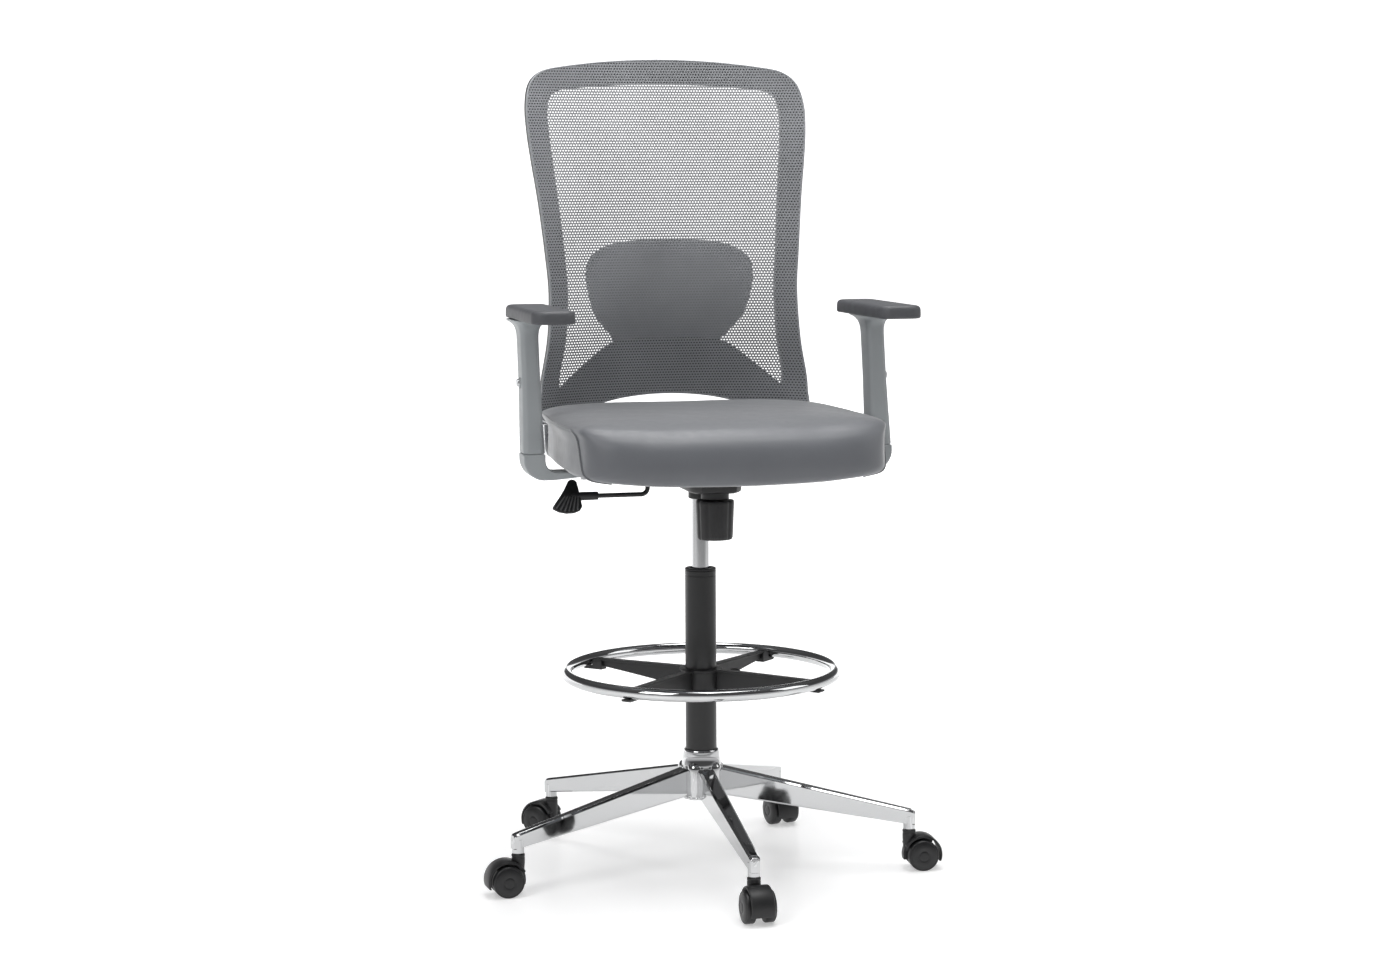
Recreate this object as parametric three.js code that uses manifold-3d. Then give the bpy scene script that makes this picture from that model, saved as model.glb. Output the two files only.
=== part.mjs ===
// A drafting chair: five-star castor base, gas lift with a foot ring on its column, tilt mechanism with
// lift lever and tension knob, upholstered seat, height-adjustable arms and a mesh back with a lumbar pad.
// Millimetres, +Z up. The chair faces -Y, so +X is the sitter's left.
// The model is built round the column's axis and then set down with the middle of its box on the origin.
import * as THREE from "three";
import { mergeVertices } from "three/addons/utils/BufferGeometryUtils.js";
import Module from "manifold-3d";

const wasm = await Module();
wasm.setup();

// ---------------------------------------------------------------- driving dimensions
const GAP = 0.3; // between pieces that touch
const ROUND_SIDES = 24; // facets of the column and everything that turns round it

// Castors and star base
const LEG_COUNT = 5;
const WHEEL_RADIUS = 25;
const WHEEL_WIDTH = 18;
const WHEEL_SIDES = 24;
const WHEEL_INNER_FACE = 8; // from the castor's middle plane to a wheel's inner face
const WHEEL_BORE = 3.4;
const AXLE_RADIUS = 3.1;
const HOOD_RADIUS = 32;
const HOOD_WALL = 3;
const HOOD_WIDTH = 37;
const HOOD_WEB = 14; // solid middle between the wheels
const CASTOR_TRAIL = 20; // from swivel axis to axle
const NECK_RADIUS = 10.5;
const NECK_TOP = 65;
const STEM_RADIUS = 5.5;
const STEM_FOOT = 36;
const STEM_TOP = 92;
const CASTOR_CIRCLE = 336; // radius of the circle of swivel axes
const FRONT_LEG_ANGLE = -90; // degrees; the other legs follow anticlockwise
const CASTOR_HEADINGS = [272.5, -5, 282, 134.5, 184.5]; // trail directions at rest, front leg first

const LEG_TIP = 346;
const LEG_TOP_AT_HUB = 166;
const LEG_TOP_AT_TIP = 96.5;
const LEG_BOTTOM_AT_HUB = 121;
const LEG_BOTTOM_AT_TIP = 73;
const LEG_WIDTH_AT_HUB = 27;
const LEG_WIDTH_AT_TIP = 17.5;
const LEG_BEVEL = 3.5;
const SOCKET_RADIUS = 9.5;
const SOCKET_FOOT = 66;

const HUB_TOP = 195;
const HUB_BOTTOM = 115;
const HUB_CORE_RADIUS = 33;
const HUB_LOBE_RADIUS = 15;
const HUB_LOBE_CENTRE = 24;
const HUB_SHOULDER = 172;
const HUB_RIM = 28.5;

// Column and gas lift
const COLUMN_RADIUS = 25;
const COLUMN_WALL = 2.5;
const COLUMN_FOOT = 117;
const COLUMN_TOP = 486;
const COLUMN_PLATE = 4;
const SLEEVE_LENGTH = 86;
const SLEEVE_CAP = 3.5;
const CYLINDER_RADIUS = 14;
const CYLINDER_WALL = 2;
const CYLINDER_FOOT = 310;
const CYLINDER_TOP = 630;
const CYLINDER_HEAD = 72; // solid top that carries the valve
const CYLINDER_GUIDE = 8;
const ROD_RADIUS = 5;
const PISTON_TOP = 450;
const PISTON_HEIGHT = 14;
const BEARING_HEIGHT = 8;
const VALVE_RADIUS = 3;
const VALVE_STAND = 7.5;
const VALVE_DEPTH = 28;

// Foot ring
const RING_RADIUS = 216.5;
const RING_TUBE = 9.5;
const RING_HEIGHT = 321;
const SPOKE_COUNT = 4;
const SPOKE_WEB = 4;
const SPOKE_FLANGE = 15;
const SPOKE_FLANGE_THICK = 3.2;
const SPOKE_DEPTH_AT_HUB = 38;
const SPOKE_DEPTH_AT_RING = 12;
const SPIDER_TOP = 327;
const SPIDER_FOOT = 289;
const SPIDER_WALL = 4;
const RING_SLEEVE_WALL = 1.6;
const RING_COLLAR_RADIUS = 29.5;
const RING_COLLAR_HEIGHT = 4;
const RING_KNOB_RADIUS = 15;
const RING_KNOB_LENGTH = 15;
const RING_KNOB_START = 50;
const RING_SCREW_RADIUS = 4;

// Tilt mechanism
const HOUSING_HALF_WIDTH = 42;
const HOUSING_FRONT = -128;
const HOUSING_BACK = 56;
const HOUSING_FLOOR = 622;
const HOUSING_RIM = 648;
const HOUSING_WALL = 3;
const BOSS_RADIUS = 19;
const BOSS_FOOT = 602;
const SPRING_Y = -100;
const CUP_RADIUS = 22;
const CUP_WALL = 3;
const CUP_FOOT = 611.5;
const SPRING_RADIUS = 13;
const SPRING_WIRE = 2.2;
const SPRING_TURNS = 4;
const BOLT_RADIUS = 4;
const KNOB_TOP_RADIUS = 30.5;
const KNOB_FOOT_RADIUS = 28;
const KNOB_LENGTH = 62;
const KNOB_FLUTES = 10;
const PIVOT_Y = 30;
const PIVOT_Z = 636;
const PIVOT_PIN_RADIUS = 4;
const PLATE_THICK = 3;
const PLATE_HALF_WIDTH = 95;
const PLATE_FRONT = -140;
const PLATE_BACK = 110;

// Lift lever
const LEVER_Z = 642;
const LEVER_RADIUS = 3.75;
const LEVER_INNER_END = 16;
const LEVER_DROP_X = -86;
const LEVER_LOW_Z = 611;
const LEVER_OUTER_END = -196;
const BUSH_RADIUS = 7;
const BUSH_LENGTH = 9;
const PADDLE_SOCKET_RADIUS = 6.4;
const PADDLE_SOCKET_START = -167;
const PADDLE_THICK = 4;
const PADDLE_BEVEL = 1;
const PADDLE_TILT = 52; // degrees back from flat

// Seat
const SEAT_HALF_WIDTH = 251;
const SEAT_REAR_HALF_WIDTH = 238;
const SEAT_REAR_CORNER = 110;
const SEAT_FRONT_HALF_WIDTH = 240;
const SEAT_FRONT_CORNER = 38;
const SEAT_FRONT_BOW = 22; // the middle of the front edge stands this far ahead of its ends
const SEAT_SIDE = [[250, -180], [251, -100], [246, 0]]; // [x, y] along one side, front to back
const SEAT_FRONT = -290;
const SEAT_BACK = 206;
const SEAT_TOP = 746;
const SEAT_EDGE_TOP = 738;
const SEAT_UNDERSIDE = 663;
const SEAT_LIP_DROP = 14; // the front roll hangs this much lower in the middle
const PAN_THICK = 12;
const PAN_INSET = 34;
const PAN_FOOT = 660;

// Arms
const ARM_X = 281;
const ARM_Y = -33;
const ARM_BUTTON_Z = 796;
const ARM_LEAN = 10; // degrees, top towards the back
const ARM_WIDTH = 29;
const ARM_DEPTH = 48;
const ARM_FOOT_WIDTH = 34;
const ARM_SEAM_Z = 687;
const ARM_ELBOW_Z = 646;
const ARM_FOOT_THICK = 9;
const ARM_FOOT_END = 120; // inner end of the foot, from the middle plane
const ARM_SLEEVE_WALL = 3.6;
const ARM_POST_LENGTH = 160;
const ARM_FLARE_LENGTH = 22;
const ARM_FLARE_WIDTH = 54;
const ARM_FLARE_DEPTH = 96;
const BUTTON_RADIUS = 6;
const BUTTON_STAND = 6;
const BUTTON_LENGTH = 10;
const PAD_LENGTH = 264;
const PAD_WIDTH = 68;
const PAD_THICK = 21;
const PAD_CORNER = 22;
const PAD_BEVEL = 5;
const PAD_Y = -80;
const PAD_X = 272;

// Back
const BACK_FRAME_THICK = 20;
const BACK_MESH_THICK = 1.6;
const BACK_MESH_LIFT = 1.6; // from the frame's front to the sheet's back
const SHEET_INSET = 4;
const SHEET_REACH = 228; // half width the sheet's edge heights are given for
const LUMBAR_THICK = 9;
const LUMBAR_LIFT = 7;
const LUMBAR_FOOT = 850;
const LUMBAR_TOP = 1009;
const TONGUE_HALF_WIDTH = 30;
const TONGUE_THICK = 5;
const TONGUE_FOOT = 790;
const STRUT_THICK = 6;
const STRUT_X = 220;
const STRUT_FRONT = 164;
const STRUT_BACK = 204;
const STRUT_BEND = 20;
const STRUT_INNER_END = 100;
const STRUT_BAR_TOP = 711;
const STRUT_HEAD_INNER = 196;
const STRUT_HEAD_TOP = 776;
const STRUT_HEAD_THICK = 7;

// ---------------------------------------------------------------- geometry helpers
const radians = THREE.MathUtils.degToRad;
const lerp = THREE.MathUtils.lerp;
const smooth = THREE.MathUtils.smoothstep;

/** A closed geometry as a manifold solid, turned right side out if its faces point in. */
function solid(geometry) {
  const bare = geometry.index ? geometry.toNonIndexed() : geometry.clone();
  bare.deleteAttribute("normal");
  bare.deleteAttribute("uv");
  const merged = mergeVertices(bare, 1e-4);
  const triVerts = new Uint32Array(merged.index.array);
  const vertProperties = merged.attributes.position.array;
  const build = () => new wasm.Manifold(new wasm.Mesh({ numProp: 3, vertProperties, triVerts }));
  const made = build();
  if (made.volume() >= 0) return made;
  for (let i = 0; i < triVerts.length; i += 3) {
    [triVerts[i + 1], triVerts[i + 2]] = [triVerts[i + 2], triVerts[i + 1]];
  }
  return build();
}

/** The three.js geometry of a manifold solid. */
function geometryOf(made) {
  const mesh = made.getMesh();
  return new THREE.BufferGeometry()
    .setAttribute("position", new THREE.BufferAttribute(mesh.vertProperties, mesh.numProp))
    .setIndex(new THREE.BufferAttribute(mesh.triVerts, 1));
}

const join = (first, ...rest) => rest.reduce((sum, piece) => sum.add(piece), first);
const cut = (first, ...rest) => rest.reduce((left, piece) => left.subtract(piece), first);

/** A box from its low and high corners. */
function box(low, high) {
  const size = high.map((value, axis) => value - low[axis]);
  const geometry = new THREE.BoxGeometry(...size);
  geometry.translate(...low.map((value, axis) => value + size[axis] / 2));
  return solid(geometry);
}

/** A solid of revolution about the vertical line through (x, y), from [radius, z] pairs. */
function turned(profile, x = 0, y = 0, sides = 32) {
  const points = profile.map(([radius, z]) => new THREE.Vector2(radius, z));
  const geometry = new THREE.LatheGeometry(points, sides);
  geometry.rotateX(Math.PI / 2);
  geometry.translate(x, y, 0);
  return solid(geometry);
}

/** A plain cylinder along Z from z0 to z1. */
const rod = (radius, z0, z1, x = 0, y = 0, sides = 24) =>
  turned([[0, z0], [radius, z0], [radius, z1], [0, z1]], x, y, sides);

/** A tube along Z from z0 to z1. */
const pipe = (inner, outer, z0, z1, x = 0, y = 0, sides = 32) =>
  turned([[inner, z0], [outer, z0], [outer, z1], [inner, z1], [inner, z0]], x, y, sides);

/** A plain cylinder along X from x0 to x1. */
function crossRod(radius, x0, x1, y, z, sides = 20) {
  const geometry = new THREE.CylinderGeometry(radius, radius, x1 - x0, sides);
  geometry.rotateZ(Math.PI / 2);
  geometry.translate((x0 + x1) / 2, y, z);
  return solid(geometry);
}

/** A closed body from stacked rings of equal length, its two ends closed to their middles. */
function loft(rings) {
  const count = rings[0].length;
  const positions = rings.flat(2);
  const index = [];
  const middle = (ring) => [0, 1, 2].map((axis) => ring.reduce((sum, p) => sum + p[axis], 0) / count);
  positions.push(...middle(rings[0]), ...middle(rings.at(-1)));
  const foot = rings.length * count;
  const head = foot + 1;
  for (let i = 0; i < count; i++) {
    const next = (i + 1) % count;
    for (let level = 0; level + 1 < rings.length; level++) {
      const a = level * count;
      const b = a + count;
      index.push(a + i, a + next, b + next, a + i, b + next, b + i);
    }
    const last = (rings.length - 1) * count;
    index.push(foot, next, i, head, last + i, last + next);
  }
  return solid(indexed(positions, index));
}

/** A ring-shaped body: sections of equal length carried round a closed path. */
function closedSweep(sections) {
  const count = sections[0].length;
  const index = [];
  sections.forEach((section, station) => {
    const a = station * count;
    const b = ((station + 1) % sections.length) * count;
    for (let i = 0; i < count; i++) {
      const next = (i + 1) % count;
      index.push(a + i, a + next, b + next, a + i, b + next, b + i);
    }
  });
  return solid(indexed(sections.flat(2), index));
}

/** A closed sheet body: a grid of front points and the same grid of back points, walled round the edge. */
function slab(columns, rows, front, back) {
  const positions = [];
  for (const face of [front, back]) {
    for (let j = 0; j <= rows; j++) {
      for (let i = 0; i <= columns; i++) positions.push(...face(i / columns, j / rows));
    }
  }
  const at = (side, i, j) => side * (columns + 1) * (rows + 1) + j * (columns + 1) + i;
  const index = [];
  const quad = (a, b, c, d) => index.push(a, b, c, a, c, d);
  for (let j = 0; j < rows; j++) {
    for (let i = 0; i < columns; i++) {
      quad(at(0, i, j), at(0, i + 1, j), at(0, i + 1, j + 1), at(0, i, j + 1));
      quad(at(1, i, j), at(1, i, j + 1), at(1, i + 1, j + 1), at(1, i + 1, j));
    }
  }
  for (let i = 0; i < columns; i++) {
    quad(at(1, i, 0), at(1, i + 1, 0), at(0, i + 1, 0), at(0, i, 0));
    quad(at(0, i, rows), at(0, i + 1, rows), at(1, i + 1, rows), at(1, i, rows));
  }
  for (let j = 0; j < rows; j++) {
    quad(at(1, 0, j + 1), at(1, 0, j), at(0, 0, j), at(0, 0, j + 1));
    quad(at(0, columns, j), at(1, columns, j), at(1, columns, j + 1), at(0, columns, j + 1));
  }
  return solid(indexed(positions, index));
}

/** A geometry from flat positions and triangle indices. */
function indexed(positions, index) {
  return new THREE.BufferGeometry()
    .setAttribute("position", new THREE.Float32BufferAttribute(positions, 3))
    .setIndex(index);
}

/** A flat outline with straight sides, as a THREE.Shape. */
const outline = (points) => new THREE.Shape(points.map(([x, y]) => new THREE.Vector2(x, y)));

/** A rectangle centred on the origin with rounded corners. */
function roundedRectangle(width, height, radius) {
  const shape = new THREE.Shape();
  const x = width / 2 - radius;
  const y = height / 2 - radius;
  shape.absarc(x, -y, radius, -Math.PI / 2, 0);
  shape.absarc(x, y, radius, 0, Math.PI / 2);
  shape.absarc(-x, y, radius, Math.PI / 2, Math.PI);
  shape.absarc(-x, -y, radius, Math.PI, (3 * Math.PI) / 2);
  return shape;
}

/** A shape in the XZ plane given depth along Y, centred on y. */
function standing(shape, depth, y, curveSegments = 8) {
  const geometry = new THREE.ExtrudeGeometry(shape, { depth, bevelEnabled: false, curveSegments });
  geometry.rotateX(Math.PI / 2);
  geometry.translate(0, y + depth / 2, 0);
  return solid(geometry);
}

/** A round bar along a curve. */
function bar(curve, radius, steps, sides = 10) {
  const section = new THREE.Shape();
  section.absarc(0, 0, radius, 0, 2 * Math.PI);
  return solid(
    new THREE.ExtrudeGeometry(section, {
      extrudePath: curve,
      steps,
      bevelEnabled: false,
      curveSegments: sides / 2,
    }),
  );
}

/** A solid turned by degrees about the Z axis. */
const spun = (made, degrees) => made.rotate([0, 0, degrees]);
const shifted = (made, x, y, z) => made.translate([x, y, z]);
const mirrored = (made) => made.mirror([1, 0, 0]);

// ---------------------------------------------------------------- finishes
const finish = (colour, roughness, metalness) =>
  new THREE.MeshStandardMaterial({ color: colour, roughness, metalness });
const CHROME = finish(0xd8dadc, 0.12, 1);
const STEEL = finish(0x9a9da0, 0.4, 1);
const BLACK_NYLON = finish(0x2a2b2d, 0.5, 0);
const BLACK_PAINT = finish(0x2b2c2e, 0.45, 0.2);
const GREY_PLASTIC = finish(0x8f9497, 0.5, 0);
const GREY_LEATHER = finish(0x6f7276, 0.45, 0);
const GREY_MESH = finish(0x75797d, 0.8, 0);
const PAD_GREY = finish(0x55585c, 0.6, 0);

const chair = new THREE.Group();

/** Adds one named sub-part to the chair. */
function add(name, made, material) {
  const mesh = new THREE.Mesh(geometryOf(made), material);
  mesh.name = name;
  chair.add(mesh);
  return mesh;
}

// ---------------------------------------------------------------- star base
const legAngles = Array.from({ length: LEG_COUNT }, (_, i) => FRONT_LEG_ANGLE + (i * 360) / LEG_COUNT);

/** One leg along +X: a tapering bar with bevelled top edges and a castor socket at its tip. */
function leg() {
  const section = (along) => {
    const share = (along - HUB_CORE_RADIUS) / (LEG_TIP - HUB_CORE_RADIUS);
    const half = lerp(LEG_WIDTH_AT_HUB, LEG_WIDTH_AT_TIP, share) / 2;
    const top = lerp(LEG_TOP_AT_HUB, LEG_TOP_AT_TIP, share);
    const bottom = lerp(LEG_BOTTOM_AT_HUB, LEG_BOTTOM_AT_TIP, share);
    return [
      [along, -half + 1, bottom],
      [along, -half, bottom + 2],
      [along, -half, top - LEG_BEVEL],
      [along, -half + LEG_BEVEL, top],
      [along, half - LEG_BEVEL, top],
      [along, half, top - LEG_BEVEL],
      [along, half, bottom + 2],
      [along, half - 1, bottom],
    ];
  };
  const beam = loft([section(HUB_LOBE_CENTRE), section(LEG_TIP)]);
  const socket = turned(
    [
      [0, SOCKET_FOOT],
      [SOCKET_RADIUS - 1, SOCKET_FOOT],
      [SOCKET_RADIUS, SOCKET_FOOT + 1],
      [SOCKET_RADIUS, LEG_BOTTOM_AT_TIP + 12],
      [0, LEG_BOTTOM_AT_TIP + 12],
    ],
    CASTOR_CIRCLE,
    0,
    14,
  );
  const bore = rod(STEM_RADIUS + GAP, SOCKET_FOOT - 1, STEM_TOP + GAP, CASTOR_CIRCLE, 0, 12);
  return { metal: join(beam, socket), bore };
}

function starBase() {
  const hub = turned([
    [0, HUB_BOTTOM],
    [HUB_CORE_RADIUS, HUB_BOTTOM],
    [HUB_CORE_RADIUS, HUB_SHOULDER],
    [HUB_RIM + 2, HUB_SHOULDER + 9],
    [HUB_RIM + 1, HUB_TOP - 4],
    [HUB_RIM, HUB_TOP],
    [0, HUB_TOP],
  ], 0, 0, 30);
  const { metal, bore } = leg();
  const lobe = turned([
    [0, HUB_BOTTOM + 2],
    [HUB_LOBE_RADIUS, HUB_BOTTOM + 2],
    [HUB_LOBE_RADIUS, HUB_SHOULDER - 4],
    [HUB_LOBE_RADIUS - 5, HUB_SHOULDER + 2],
    [0, HUB_SHOULDER + 5],
  ], HUB_LOBE_CENTRE, 0, 12);
  const legs = legAngles.map((angle) => spun(metal, angle));
  const lobes = legAngles.map((angle) => spun(lobe, angle + 180 / LEG_COUNT));
  const bores = legAngles.map((angle) => spun(bore, angle));
  const well = rod(COLUMN_RADIUS + GAP, HUB_BOTTOM - 1, HUB_TOP + 1, 0, 0, ROUND_SIDES);
  return cut(join(hub, ...legs, ...lobes), well, ...bores);
}
add("star_base", starBase(), CHROME);

// ---------------------------------------------------------------- castors
/** An arc's points round the axle in the XZ plane, from one angle to another. */
function arc(radius, from, to, steps) {
  return Array.from({ length: steps + 1 }, (_, i) => {
    const angle = radians(lerp(from, to, i / steps));
    return [radius * Math.cos(angle), radius * Math.sin(angle)];
  });
}

/** The hood along +X from the swivel axis: neck, curved cover over both wheels and the web between them. */
function castorHood() {
  const inner = HOOD_RADIUS - HOOD_WALL;
  const webWidth = HOOD_WEB - 2 * GAP;
  const cover = standing(outline([...arc(HOOD_RADIUS, -18, 150, 9), ...arc(inner, 150, -18, 9)]), HOOD_WIDTH, 0);
  const web = standing(outline([[9, -9], ...arc(HOOD_RADIUS - 1, 55, 190, 6), [-9, -9]]), webWidth, 0);
  const shell = shifted(join(cover, web), CASTOR_TRAIL, 0, WHEEL_RADIUS);
  const neck = rod(NECK_RADIUS, WHEEL_RADIUS + 6, NECK_TOP, 0, 0, 12);
  const wheelsWidth = 2 * (WHEEL_INNER_FACE + WHEEL_WIDTH) + 4;
  const wheelRoom = shifted(crossRodAlongY(WHEEL_RADIUS + 1.5, wheelsWidth, 16), CASTOR_TRAIL, 0, WHEEL_RADIUS);
  const kept = box([-40, -webWidth / 2, -5], [80, webWidth / 2, 80]);
  const trimmedNeck = cut(neck, cut(wheelRoom, kept));
  const stemRoom = rod(STEM_RADIUS + GAP, STEM_FOOT - GAP, NECK_TOP + 1, 0, 0, 12);
  const axleRoom = shifted(crossRodAlongY(AXLE_RADIUS + GAP, HOOD_WEB + 4, 12), CASTOR_TRAIL, 0, WHEEL_RADIUS);
  return cut(join(shell, trimmedNeck), stemRoom, axleRoom);
}

/** A cylinder along Y centred on the origin. */
function crossRodAlongY(radius, length, sides = 32) {
  return solid(new THREE.CylinderGeometry(radius, radius, length, sides));
}

/** A wheel turned about Y, its inner face at y = 0 and a flat of its tread facing down. */
function castorWheel() {
  const corner = WHEEL_RADIUS / Math.cos(Math.PI / WHEEL_SIDES);
  const profile = [
    [WHEEL_BORE, 0],
    [corner - 1, 0],
    [corner, 1],
    [corner, WHEEL_WIDTH - 5],
    [corner - 4, WHEEL_WIDTH - 1.6],
    [0, WHEEL_WIDTH],
    [0, WHEEL_WIDTH - 3.4],
    [WHEEL_BORE, WHEEL_WIDTH - 3.4],
    [WHEEL_BORE, 0],
  ];
  const geometry = new THREE.LatheGeometry(
    profile.map(([radius, y]) => new THREE.Vector2(radius, y)),
    WHEEL_SIDES,
  );
  geometry.rotateY(Math.PI / WHEEL_SIDES);
  return solid(geometry);
}

const hood = castorHood();
const wheel = castorWheel();
const wheelOut = shifted(wheel, CASTOR_TRAIL, WHEEL_INNER_FACE, WHEEL_RADIUS);
const axleLength = 2 * (WHEEL_INNER_FACE + WHEEL_WIDTH - 4);
const axle = shifted(crossRodAlongY(AXLE_RADIUS, axleLength, 12), CASTOR_TRAIL, 0, WHEEL_RADIUS);
const stem = turned([
  [0, STEM_FOOT],
  [STEM_RADIUS, STEM_FOOT],
  [STEM_RADIUS, STEM_TOP - 2],
  [STEM_RADIUS - 2, STEM_TOP],
  [0, STEM_TOP],
], 0, 0, 12);

legAngles.forEach((angle, index) => {
  const name = `castor_${index + 1}`;
  const x = CASTOR_CIRCLE * Math.cos(radians(angle));
  const y = CASTOR_CIRCLE * Math.sin(radians(angle));
  const heading = CASTOR_HEADINGS[index];
  const place = (made) => shifted(spun(made, heading), x, y, 0);
  add(`${name}_stem`, place(stem), STEEL);
  add(`${name}_hood`, place(hood), BLACK_NYLON);
  add(`${name}_axle`, place(axle), STEEL);
  add(`${name}_wheel_left`, place(wheelOut), BLACK_NYLON);
  add(`${name}_wheel_right`, place(wheelOut.mirror([0, 1, 0])), BLACK_NYLON);
});

// ---------------------------------------------------------------- column and gas lift
const columnTube = turned([
  [ROD_RADIUS + 1, COLUMN_FOOT],
  [COLUMN_RADIUS - 1, COLUMN_FOOT],
  [COLUMN_RADIUS, COLUMN_FOOT + 1],
  [COLUMN_RADIUS, COLUMN_TOP],
  [COLUMN_RADIUS - COLUMN_WALL, COLUMN_TOP],
  [COLUMN_RADIUS - COLUMN_WALL, COLUMN_FOOT + COLUMN_PLATE],
  [ROD_RADIUS + 1, COLUMN_FOOT + COLUMN_PLATE],
  [ROD_RADIUS + 1, COLUMN_FOOT],
], 0, 0, ROUND_SIDES);
add("outer_column", columnTube, BLACK_PAINT);

const sleeveOuter = COLUMN_RADIUS - COLUMN_WALL - GAP;
const sleeveTop = COLUMN_TOP + SLEEVE_CAP;
const columnSleeve = turned([
  [CYLINDER_RADIUS + GAP, COLUMN_TOP - SLEEVE_LENGTH],
  [sleeveOuter, COLUMN_TOP - SLEEVE_LENGTH],
  [sleeveOuter, COLUMN_TOP + GAP],
  [COLUMN_RADIUS, COLUMN_TOP + GAP],
  [COLUMN_RADIUS, sleeveTop - 1],
  [COLUMN_RADIUS - 1.5, sleeveTop],
  [CYLINDER_RADIUS + GAP, sleeveTop],
  [CYLINDER_RADIUS + GAP, COLUMN_TOP - SLEEVE_LENGTH],
], 0, 0, ROUND_SIDES);
add("column_sleeve", columnSleeve, BLACK_NYLON);

const plateTop = COLUMN_FOOT + COLUMN_PLATE;
add("thrust_bearing", pipe(ROD_RADIUS + 1, COLUMN_RADIUS - COLUMN_WALL - 4, plateTop + GAP,
  plateTop + BEARING_HEIGHT, 0, 0, 16), STEEL);

const bearingTop = plateTop + BEARING_HEIGHT + GAP;
const pistonRadius = CYLINDER_RADIUS - CYLINDER_WALL - 0.5;
const pistonRod = turned([
  [0, COLUMN_FOOT - 1],
  [ROD_RADIUS, COLUMN_FOOT - 1],
  [ROD_RADIUS, bearingTop],
  [ROD_RADIUS + 5, bearingTop],
  [ROD_RADIUS + 5, bearingTop + 4],
  [ROD_RADIUS, bearingTop + 4],
  [ROD_RADIUS, PISTON_TOP - PISTON_HEIGHT],
  [pistonRadius, PISTON_TOP - PISTON_HEIGHT],
  [pistonRadius, PISTON_TOP],
  [0, PISTON_TOP],
], 0, 0, 16);
add("piston_rod", pistonRod, STEEL);

const cylinderBore = CYLINDER_RADIUS - CYLINDER_WALL;
const headFoot = CYLINDER_TOP - CYLINDER_HEAD;
const valveRoom = VALVE_RADIUS + GAP;
const gasCylinder = turned([
  [ROD_RADIUS + GAP, CYLINDER_FOOT],
  [CYLINDER_RADIUS - 1, CYLINDER_FOOT],
  [CYLINDER_RADIUS, CYLINDER_FOOT + 1],
  [CYLINDER_RADIUS, CYLINDER_TOP - 1],
  [CYLINDER_RADIUS - 1, CYLINDER_TOP],
  [valveRoom, CYLINDER_TOP],
  [valveRoom, CYLINDER_TOP - VALVE_DEPTH],
  [0, CYLINDER_TOP - VALVE_DEPTH],
  [0, headFoot],
  [cylinderBore, headFoot],
  [cylinderBore, CYLINDER_FOOT + CYLINDER_GUIDE],
  [ROD_RADIUS + GAP, CYLINDER_FOOT + CYLINDER_GUIDE],
  [ROD_RADIUS + GAP, CYLINDER_FOOT],
], 0, 0, ROUND_SIDES);
add("gas_cylinder", gasCylinder, CHROME);
const valveFoot = CYLINDER_TOP - VALVE_DEPTH + 6;
add("valve_pin", rod(VALVE_RADIUS, valveFoot, CYLINDER_TOP + VALVE_STAND, 0, 0, 16), STEEL);

// ---------------------------------------------------------------- foot ring
const ring = new THREE.TorusGeometry(RING_RADIUS, RING_TUBE, 10, 48);
ring.translate(0, 0, RING_HEIGHT);
add("foot_ring", solid(ring), CHROME);

const ringSleeveOuter = COLUMN_RADIUS + GAP + RING_SLEEVE_WALL;
const spiderInner = ringSleeveOuter + GAP;
const spiderOuter = spiderInner + SPIDER_WALL;
const ringSleeve = turned([
  [COLUMN_RADIUS + GAP, SPIDER_FOOT - RING_COLLAR_HEIGHT],
  [RING_COLLAR_RADIUS - 1, SPIDER_FOOT - RING_COLLAR_HEIGHT],
  [RING_COLLAR_RADIUS, SPIDER_FOOT - RING_COLLAR_HEIGHT + 1],
  [RING_COLLAR_RADIUS, SPIDER_FOOT - GAP],
  [ringSleeveOuter, SPIDER_FOOT - GAP],
  [ringSleeveOuter, SPIDER_TOP],
  [COLUMN_RADIUS + GAP, SPIDER_TOP],
  [COLUMN_RADIUS + GAP, SPIDER_FOOT - RING_COLLAR_HEIGHT],
], 0, 0, ROUND_SIDES);
add("foot_ring_sleeve", ringSleeve, BLACK_NYLON);

/** One spoke along +X: a tapering web under a flange, with a block and a saddle tab that hold the ring. */
function spoke() {
  const start = spiderInner + 1;
  const end = RING_RADIUS - RING_TUBE - GAP;
  const ringFoot = RING_HEIGHT - RING_TUBE;
  const blockTop = SPIDER_TOP - 2;
  const web = standing(outline([
    [start, SPIDER_TOP - SPOKE_DEPTH_AT_HUB],
    [end - 12, blockTop - SPOKE_DEPTH_AT_RING],
    [end - 12, blockTop],
    [start, SPIDER_TOP],
  ]), SPOKE_WEB, 0);
  const flange = standing(outline([
    [start, SPIDER_TOP - SPOKE_FLANGE_THICK],
    [end - 6, blockTop - SPOKE_FLANGE_THICK],
    [end - 6, blockTop],
    [start, SPIDER_TOP],
  ]), SPOKE_FLANGE, 0);
  const tabTop = ringFoot - GAP;
  const holder = standing(outline([
    [end - 18, tabTop - 4],
    [RING_RADIUS + 6, tabTop - 4],
    [RING_RADIUS + 8, tabTop - 2],
    [RING_RADIUS + 8, tabTop],
    [end, tabTop],
    [end, blockTop],
    [end - 14, blockTop],
    [end - 18, blockTop - 4],
  ]), SPOKE_FLANGE, 0);
  return join(web, flange, holder);
}
const bossReach = RING_KNOB_START - 4;
const bossZ = (SPIDER_TOP + SPIDER_FOOT) / 2;
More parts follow.
